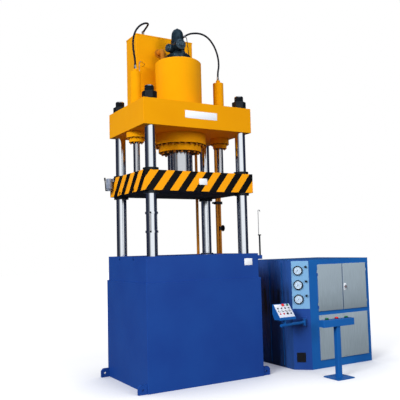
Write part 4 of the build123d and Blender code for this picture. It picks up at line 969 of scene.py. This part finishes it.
# %% Valve skirt
valve_low, valve_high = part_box("prefill_valve")
skirt_rise = 0.0595
skirt_foot = Matrix.Translation((0, 0, valve_low.z + skirt_rise))
skirt_profile = (
    (0.100, 0.0), (0.197, 0.0), (0.200, 0.003), (0.200, 0.043), (0.197, 0.046), (0.152, 0.046),
    (0.146, 0.052), (0.118, 0.125), (0.100, 0.130), (0.100, 0.0),
)
skirt_bm = bmesh.new()
add_turned(skirt_bm, skirt_profile, skirt_foot, 64)
add_bolt_ring(skirt_bm, skirt_foot, 0.174, 0.045, hex_head(0.015, 0.018, 0.002))
make_piece("valve_skirt", skirt_bm, [valve_casting], "root")

# %% [markdown]
# Machined covers close the valve: one on its front boss and one on the bulge at its left, with a
# hexagon plug on top. Both covers have the same steps. So one profile is worked out from the
# cover's radius, and a second one doesn't have to be kept in step with it.

# %% Valve covers
boss_rise, bulge_rise = 0.245, 0.205
boss_face = Vector((-0.045, -0.190, valve_low.z + boss_rise))
bulge_reach = 0.196
bulge_way = Vector((-1.0, -0.25, 0)).normalized()
bulge_face = bulge_way * bulge_reach + Vector((0, 0, valve_low.z + bulge_rise))
cover_bm = bmesh.new()
for cover_face, way, radius in ((boss_face, (0, -1, 0), 0.082), (bulge_face, bulge_way, 0.064)):
    place = place_matrix(cover_face, way)
    cover_profile = (
        (0, 0.030), (radius * 0.40, 0.030), (radius * 0.46, 0.026), (radius * 0.50, 0.014),
        (radius * 0.94, 0.014), (radius, 0.010), (radius, 0.0), (0, 0),
    )
    add_turned(cover_bm, cover_profile, place, 40)
    add_bolt_ring(cover_bm, place, radius * 0.76, 0.0135, hex_head(0.0105, 0.012, 0.0015))
nose_place = Matrix.Translation((0, 0, valve_high.z - 0.001))
add_turned(cover_bm, hex_head(0.014, 0.012, 0.002), nose_place, 6)
make_piece("valve_covers", cover_bm, [cover_steel], "root")

# %% [markdown]
# The gauges are what the eye goes to on the cabinet: a thick dark rim, a white dial with a fine
# scale and a dark needle. They sit on the cabinet's bevelled corner, so a helper gives a place on
# that corner from a distance along it and a height.

# %% Gauge rims and dials
bevel_corner = Vector((1.600, -0.655, 0))
bevel_along = Vector((0.210, -0.190, 0)).normalized()
bevel_out = Vector((-0.190, -0.210, 0)).normalized()


def on_bevel(along, height, out):
    """A place on the cabinet's bevelled corner, whose Z points out of it."""
    centre = bevel_corner + bevel_along * along + bevel_out * out + Vector((0, 0, height))
    return place_matrix(centre, bevel_out)


gauge_heights = (1.544, 1.318, 1.094)
gauge_along = 0.108
rim_out, dial_out, glass_out = 0.003, 0.028, 0.0335
rim_profile = (
    (0, 0.001), (0.073, 0.001), (0.075, 0.003), (0.075, 0.028), (0.073, 0.032), (0.069, 0.034),
    (0.064, 0.034), (0.0605, 0.032), (0.060, 0.0255), (0, 0.0255),
)
dial_profile = ((0, 0.001), (0.0595, 0.001), (0.0595, 0.0002), (0, 0.0002))
case_bm, dial_bm = bmesh.new(), bmesh.new()
for height in gauge_heights:
    add_turned(case_bm, rim_profile, on_bevel(gauge_along, height, rim_out), 64)
    add_turned(dial_bm, dial_profile, on_bevel(gauge_along, height, dial_out), 64)
make_piece("gauge_rims", case_bm, [black_plastic], "root", ["gauge_cases"])
make_piece("gauge_dials", dial_bm, [dial_white], "root")

# %% [markdown]
# A dial's scale could be a texture, but fine lines in a texture blur from close by. So the numbers
# are text made into mesh. One text object is refilled for each number and its mesh is laid in
# place. The text object isn't a piece of the press, so it is removed after the last number.

# %% Dial numbers
number_font = bpy.data.curves.new("dial_number", "FONT")
number_font.align_x = "CENTER"
number_font.align_y = "CENTER"
number_font.size = 0.012
number_object = bpy.data.objects.new("dial_number", number_font)
scene_objects.link(number_object)


def add_number(bm, words, place):
    """A number as flat mesh, laid at a place."""
    number_font.body = words
    bpy.context.view_layer.update()
    depsgraph = bpy.context.evaluated_depsgraph_get()
    letters = bpy.data.meshes.new_from_object(number_object.evaluated_get(depsgraph))
    letters.transform(place)
    bm.from_mesh(letters)
    bpy.data.meshes.remove(letters)


# %% [markdown]
# The scale's ticks are tiny blocks laid round the dial, a longer one at every fifth, with a number
# at every tenth. Each is made in the dial's own flat place and turned with it, so its angle is all
# that has to be worked out.

# %% Gauge marks
dial_sweep, dial_zero = radians(270), radians(225)
tick_count = 50
long_tick, short_tick = (0.010, 0.0016), (0.0055, 0.0008)
tick_end, number_ring = 0.057, 0.038
mark_thickness, mark_out, number_out = 0.0006, 0.0012, 0.0014
mark_bm = bmesh.new()
for height in gauge_heights:
    dial = on_bevel(gauge_along, height, dial_out)
    for tick in range(tick_count + 1):
        angle = dial_zero - dial_sweep * tick / tick_count
        length, width = long_tick if tick % 5 == 0 else short_tick
        spot = Matrix.Translation((tick_end - length / 2, 0, mark_out))
        turned_spot = Matrix.Rotation(angle, 4, "Z") @ spot
        add_block(mark_bm, (length, width, mark_thickness), dial @ turned_spot)
        if tick % 10 == 0:
            middle = (cos(angle) * number_ring, sin(angle) * number_ring, number_out)
            add_number(mark_bm, str(tick // 2), dial @ Matrix.Translation(middle))
bpy.data.objects.remove(number_object)
make_piece("gauge_marks", mark_bm, [black_plastic], "root")

# %% [markdown]
# Each dial is covered by a flat glass. A true glass shader would darken the dial and cost many
# samples. A nearly clear surface with a glossy skin shows the same highlight.

# %% Gauge glasses


def clear_glass(name):
    """Flat cover glass: mostly clear, with a glossy skin."""
    material, tree, shader, place = start_finish(name)
    smear = add_node(tree, "TexNoise", Vector=place, Scale=30.0, Detail=2.0)
    set_sockets(
        tree, shader, Roughness=ramp(tree, smear.outputs[0], (0.3, 0.02), (0.8, 0.07)),
        Base_Color=(0.95, 0.97, 1.0, 1), Alpha=0.08,
    )
    return material


glass_profile = ((0, 0.0022), (0.0602, 0.0012), (0.0602, 0), (0, 0.0008))
glass_bm = bmesh.new()
for height in gauge_heights:
    add_turned(glass_bm, glass_profile, on_bevel(gauge_along, height, glass_out), 48)
make_piece("gauge_glasses", glass_bm, [clear_glass("gauge_glass")], "root")

# %% [markdown]
# The console's controls sit on a sloping face. Its own place has the Z out of the slope and the Y
# up it, so rows and columns are plain sums. The slanted coordinates could be worked out by hand,
# but each of them would be a chance for a slip.

# %% Place on the console
console_x, console_y, console_low = 1.245, -0.905, 0.868
console_tilt = radians(51)
console_slope = 0.245
slope_run, slope_rise = console_slope * cos(console_tilt), console_slope * sin(console_tilt)
panel_top = Vector((console_x, console_y + slope_run / 2, console_low + slope_rise))
panel_out = Vector((0, -sin(console_tilt), cos(console_tilt)))
panel_place = place_matrix(panel_top, panel_out, (0, 0, 1))


def on_panel(across, down, out=0.0):
    """A place on the panel, from its middle line and its top edge."""
    return panel_place @ Matrix.Translation((across, -down, out))


print("panel top", panel_top)

# %% [markdown]
# The slope carries a pale panel. The start button sits in a bright ring, and the buttons of the
# third row and the switch in the fourth sit in black bezels. The controls of the three lower rows
# have a blank label strip above them, and a wide one lies at the left of the top row. A strip is a
# thin block with rounded edges, because a flat patch would catch no light.

# %% Console panel
control_columns = (-0.102, -0.034, 0.034, 0.102)
control_rows = (0.030, 0.080, 0.129, 0.178)
panel_size, panel_rise = (0.290, 0.232, 0.0016), 0.0004
label_size, stop_label_size = (0.030, 0.007, 0.0012), (0.085, 0.022, 0.0012)
label_rise, label_out, label_rounding = 0.0235, 0.0016, 0.0004
ring_profile = (
    (0.0155, 0.001), (0.0200, 0.001), (0.0200, 0.003), (0.0188, 0.0044), (0.0165, 0.0044),
    (0.0155, 0.001),
)
bezel_profile = (
    (0.0126, 0.001), (0.0195, 0.001), (0.0195, 0.003), (0.0180, 0.0048), (0.0136, 0.0048),
    (0.0126, 0.001),
)
panel_bm, ring_bm, bezel_bm, label_bm = bmesh.new(), bmesh.new(), bmesh.new(), bmesh.new()
add_block(panel_bm, panel_size, on_panel(0, console_slope / 2, panel_rise), 0.0006)
add_turned(ring_bm, ring_profile, on_panel(control_columns[3], control_rows[0]), 28)
for row, down in enumerate(control_rows[1:], 1):
    for column, across in enumerate(control_columns):
        if row == 2 or (row, column) == (3, 2):
            add_turned(bezel_bm, bezel_profile, on_panel(across, down), 28)
        label = on_panel(across, down - label_rise, label_out)
        add_block(label_bm, label_size, label, label_rounding)
stop_label = on_panel(-0.092, control_rows[0], label_out)
add_block(label_bm, stop_label_size, stop_label, label_rounding)
make_piece("console_panel", panel_bm, [panel_grey], "console")
make_piece("start_ring", ring_bm, [zinc], "console")
make_piece("button_bezels", bezel_bm, [black_plastic], "console")
make_piece("label_strips", label_bm, [plate_white], "console")

# %% [markdown]
# Two of the pilot lamps, in the lowest row at the left, have red lenses. All seven are one node,
# so the rule asks where a face lies on the panel.

# %% Red lamps
lamp_row_top = 0.15


def lamp_finish(face):
    """1 for a lamp in the lowest row, left of the middle."""
    local = panel_place.inverted() @ face.center
    return local.y < -lamp_row_top and local.x < 0


repaint("pilot_lamps", [red_lens], lamp_finish)

# %% [markdown]
# Three bare plates are riveted to the crown, the slide and the bed. Each is a thin sheet with
# rounded edges and a rivet in each corner, and it rides on what it is riveted to. A painted patch
# would be simpler, but a sheet 2 mm thick throws the fine shadow line that makes it a plate.

# %% Bare plates
plate_spots = (
    ("crown_plate", "root", (-0.252, 0.297), (3.849, 3.961), crown_low.y),
    ("slide_plate", "slide", (-0.042, 0.094), (2.867, 2.959), slide_low.y),
    ("bed_plate", "root", (0.682, 0.825), (1.665, 1.767), bed_low.y),
)
plate_thickness, plate_rounding = 0.002, 0.0006
rivet_inset = 0.010
rivet_profile = ((0, 0.002), (0.002, 0.0018), (0.0035, 0.0), (0, 0))


def paint_faces(faces, index):
    """Gives faces a material by its number."""
    for face in faces:
        face.material_index = index


for plate_name, plate_body, (x_low, x_high), (z_low, z_high), face_y in plate_spots:
    plate_bm = bmesh.new()
    width, height = x_high - x_low, z_high - z_low
    centre = ((x_low + x_high) / 2, face_y - plate_thickness / 2, (z_low + z_high) / 2)
    plate_place = place_matrix(centre, (0, -1, 0))
    add_block(plate_bm, (width, height, plate_thickness), plate_place, plate_rounding)
    out_x, out_z = width / 2 - rivet_inset, height / 2 - rivet_inset
    for side in (-1, 1):
        for end in (-1, 1):
            corner = Matrix.Translation((side * out_x, end * out_z, plate_thickness / 2))
            rivet = add_turned(plate_bm, rivet_profile, plate_place @ corner, 12)
            paint_faces(rivet, 1)
    make_piece(plate_name, plate_bm, [plate_white, zinc], plate_body)

# %% [markdown]
# The cabinet stands close beside the press. Its glossy left wall gets a painted reflection of the
# dark gap in soft upright streaks, with painted shade, and its bevelled corner gets painted shade
# a tone deeper than its front. Both get their own finish by the way the faces point. The solid's
# own vent slats are black: they are found by their place on the corner, because their faces point
# the same ways as the sheet round them.

# %% Cabinet walls
vent_centre = bevel_corner + bevel_along * 0.1166 + Vector((0, 0, 0.1905))
vent_half_width, vent_half_height = 0.0665, 0.0715
vent_depth = 0.03
shell_corners = bpy.data.objects["cabinet_shell_dressed"].data.vertices


def in_vent(corner):
    """Whether a corner of the shell belongs to the vent's slats."""
    offset = corner - vent_centre
    across, out = abs(offset.dot(bevel_along)), abs(offset.dot(bevel_out))
    return across < vent_half_width and abs(offset.z) < vent_half_height and out < vent_depth


def shell_finish(face):
    """1 for the left wall, 2 for the bevelled corner and 3 for the vent's slats."""
    if all(in_vent(shell_corners[index].co) for index in face.vertices):
        return 3
    if face.normal.x < -0.9:
        return 1
    return 2 if face.normal.dot(bevel_out) > 0.95 else 0


repaint("cabinet_shell", [left_wall_reflection_shade, shaded_bevel_blue, black_plastic], shell_finish)

# %% [markdown]
# Over the slats lies the vent's cover: a black sheet with nine louvre blades in a low frame. Real
# louvres are pressed out of the sheet. Cutting and bending it would give the same dark, ribbed
# square at this size, so the blades are separate strips laid at a slant.

# %% Vent cover
sheet_thickness, sheet_out = 0.0012, 0.0008
blade_count = 9
blade_size = (2 * vent_half_width - 0.004, 0.0085, 0.001)
blade_out, blade_lean = 0.0022, radians(20)
bar, bar_depth, bar_out, bar_rounding = 0.006, 0.004, 0.0015, 0.001
vent_bm = bmesh.new()
vent_place = place_matrix(vent_centre + bevel_out * sheet_out, bevel_out)
add_block(vent_bm, (2 * vent_half_width, 2 * vent_half_height, sheet_thickness), vent_place)
for blade in range(blade_count):
    height = vent_half_height * (2 * (blade + 0.5) / blade_count - 1)
    tilt = Matrix.Translation((0, height, blade_out)) @ Matrix.Rotation(blade_lean, 4, "X")
    add_block(vent_bm, blade_size, vent_place @ tilt)
for side in (-1, 1):
    beside = bevel_along * side * vent_half_width + bevel_out * bar_out
    upright = place_matrix(vent_centre + beside, bevel_out)
    add_block(vent_bm, (bar, 2 * vent_half_height + bar, bar_depth), upright, bar_rounding)
    over = Vector((0, 0, side * vent_half_height)) + bevel_out * bar_out
    level = place_matrix(vent_centre + over, bevel_out)
    add_block(vent_bm, (2 * vent_half_width + bar, bar, bar_depth), level, bar_rounding)
make_piece("vent_frame", vent_bm, [black_plastic], "root")

# %% [markdown]
# The lower cover is held by six socket screws. The recess could be cut out of a cylinder, but a
# profile that dips in the middle gives it for nothing. Four screws stand in the cover's corners and
# two halfway between, so their places come from its box.

# %% Cover screws
cover_low, cover_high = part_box("lower_panel")
screw_inset, screw_radius, screw_height = 0.022, 0.0065, 0.004
screw_profile = (
    (0, screw_height * 0.35), (screw_radius * 0.5, screw_height * 0.35),
    (screw_radius * 0.55, screw_height), (screw_radius * 0.88, screw_height),
    (screw_radius, screw_height * 0.85), (screw_radius, 0), (0, 0),
)
screw_columns = (
    cover_low.x + screw_inset, (cover_low.x + cover_high.x) / 2, cover_high.x - screw_inset,
)
screws_bm = bmesh.new()
for x in screw_columns:
    for z in (cover_low.z + screw_inset, cover_high.z - screw_inset):
        place = place_matrix((x, cover_low.y + 0.0004, z), (0, -1, 0))
        add_turned(screws_bm, screw_profile, place, 16)
make_piece("cover_screws", screws_bm, [zinc], "root")

# %% [markdown]
# The turn lock sits on a bright plate that rides with the right door, and its keyhole turns with
# the lock itself. They could be one piece, but then the plate would turn too, or the keyhole would
# stay behind.

# %% Lock plate and keyhole
lock_low, lock_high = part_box("door_lock")
lock_x, lock_z = (lock_low.x + lock_high.x) / 2, (lock_low.z + lock_high.z) / 2
door_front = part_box("door_right")[0].y
lock_plate_size, lock_plate_rise = (0.052, 0.105, 0.0016), 0.012
keyhole_rise = 0.014
lock_middle = (lock_x, door_front - lock_plate_size[2] / 2, lock_z + lock_plate_rise)
lock_bm = bmesh.new()
add_block(lock_bm, lock_plate_size, place_matrix(lock_middle, (0, -1, 0)), plate_rounding)
make_piece("lock_plate", lock_bm, [plate_white], "door_right")
keyhole_profile = (
    (0, 0.0012), (0.0050, 0.0012), (0.0058, 0.0006), (0.0058, -0.001), (0, -0.001),
)
keyhole_bm = bmesh.new()
keyhole_place = place_matrix((lock_x, lock_low.y, lock_z + keyhole_rise), (0, -1, 0))
add_turned(keyhole_bm, keyhole_profile, keyhole_place, 20)
make_piece("lock_keyhole", keyhole_bm, [red_lens], "door_lock")

# %% [markdown]
# The oil tank is closed by a folded lid that laps over its walls, and a breather stands on it. The
# lid takes its size and place from the box of the tank's solid, so it would follow if the tank
# were made wider. The fold itself is only a rounded edge, because at 2 mm it doesn't show.

# %% Tank lid
tank_low, tank_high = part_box("filling_tank")
lid_lap, lid_height, lid_rise, lid_rounding = 0.003, 0.022, 0.002, 0.002
breather_x, breather_y = 0.30, 0.06  # from the lid's middle
lid_bm = bmesh.new()
lid_middle = (tank_low + tank_high) / 2
lid_size = (
    tank_high.x - tank_low.x + 2 * lid_lap, tank_high.y - tank_low.y + 2 * lid_lap, lid_height,
)
lid_z = tank_high.z - lid_height / 2 + lid_rise
lid_place = Matrix.Translation((lid_middle.x, lid_middle.y, lid_z))
add_block(lid_bm, lid_size, lid_place, lid_rounding)
breather_spot = Matrix.Translation(
    (lid_middle.x + breather_x, lid_middle.y + breather_y, tank_high.z),
)
breather_profile = (
    (0, 0.062), (0.030, 0.062), (0.034, 0.058), (0.034, 0.030), (0.030, 0.026), (0.018, 0.026),
    (0.018, 0), (0, 0),
)
paint_faces(add_turned(lid_bm, breather_profile, breather_spot), 1)
make_piece("tank_lid", lid_bm, [yellow, black_steel], "root")

# %% [markdown]
# Each palm button sits in a dark collar, and a seal ring lies round the foot of the column at the
# rear right. Both have a hole in the middle. It could be cut, but a profile that ends where it
# starts, away from the axis, spins into a ring by itself.

# %% Collars and seal
collar_profile = (
    (0.0275, 0), (0.033, 0), (0.033, 0.003), (0.031, 0.005), (0.0275, 0.005), (0.0275, 0),
)
box_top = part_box("pedestal_box")[1].z
collar_bm = bmesh.new()
for palm in ("palm_left", "palm_stop", "palm_right"):
    palm_low, palm_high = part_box(palm)
    palm_middle = (palm_low + palm_high) / 2
    seat = Matrix.Translation((palm_middle.x, palm_middle.y, box_top))
    add_turned(collar_bm, collar_profile, seat)
make_piece("palm_collars", collar_bm, [black_plastic], "root")
seal_profile = (
    (0.0805, 0), (0.108, 0), (0.108, 0.010), (0.104, 0.014), (0.0805, 0.014), (0.0805, 0),
)
seal_bm = bmesh.new()
add_turned(seal_bm, seal_profile, Matrix.Translation((column_x, column_y, bed_high.z)), 48)
make_piece("column_seal", seal_bm, [black_steel], "root")
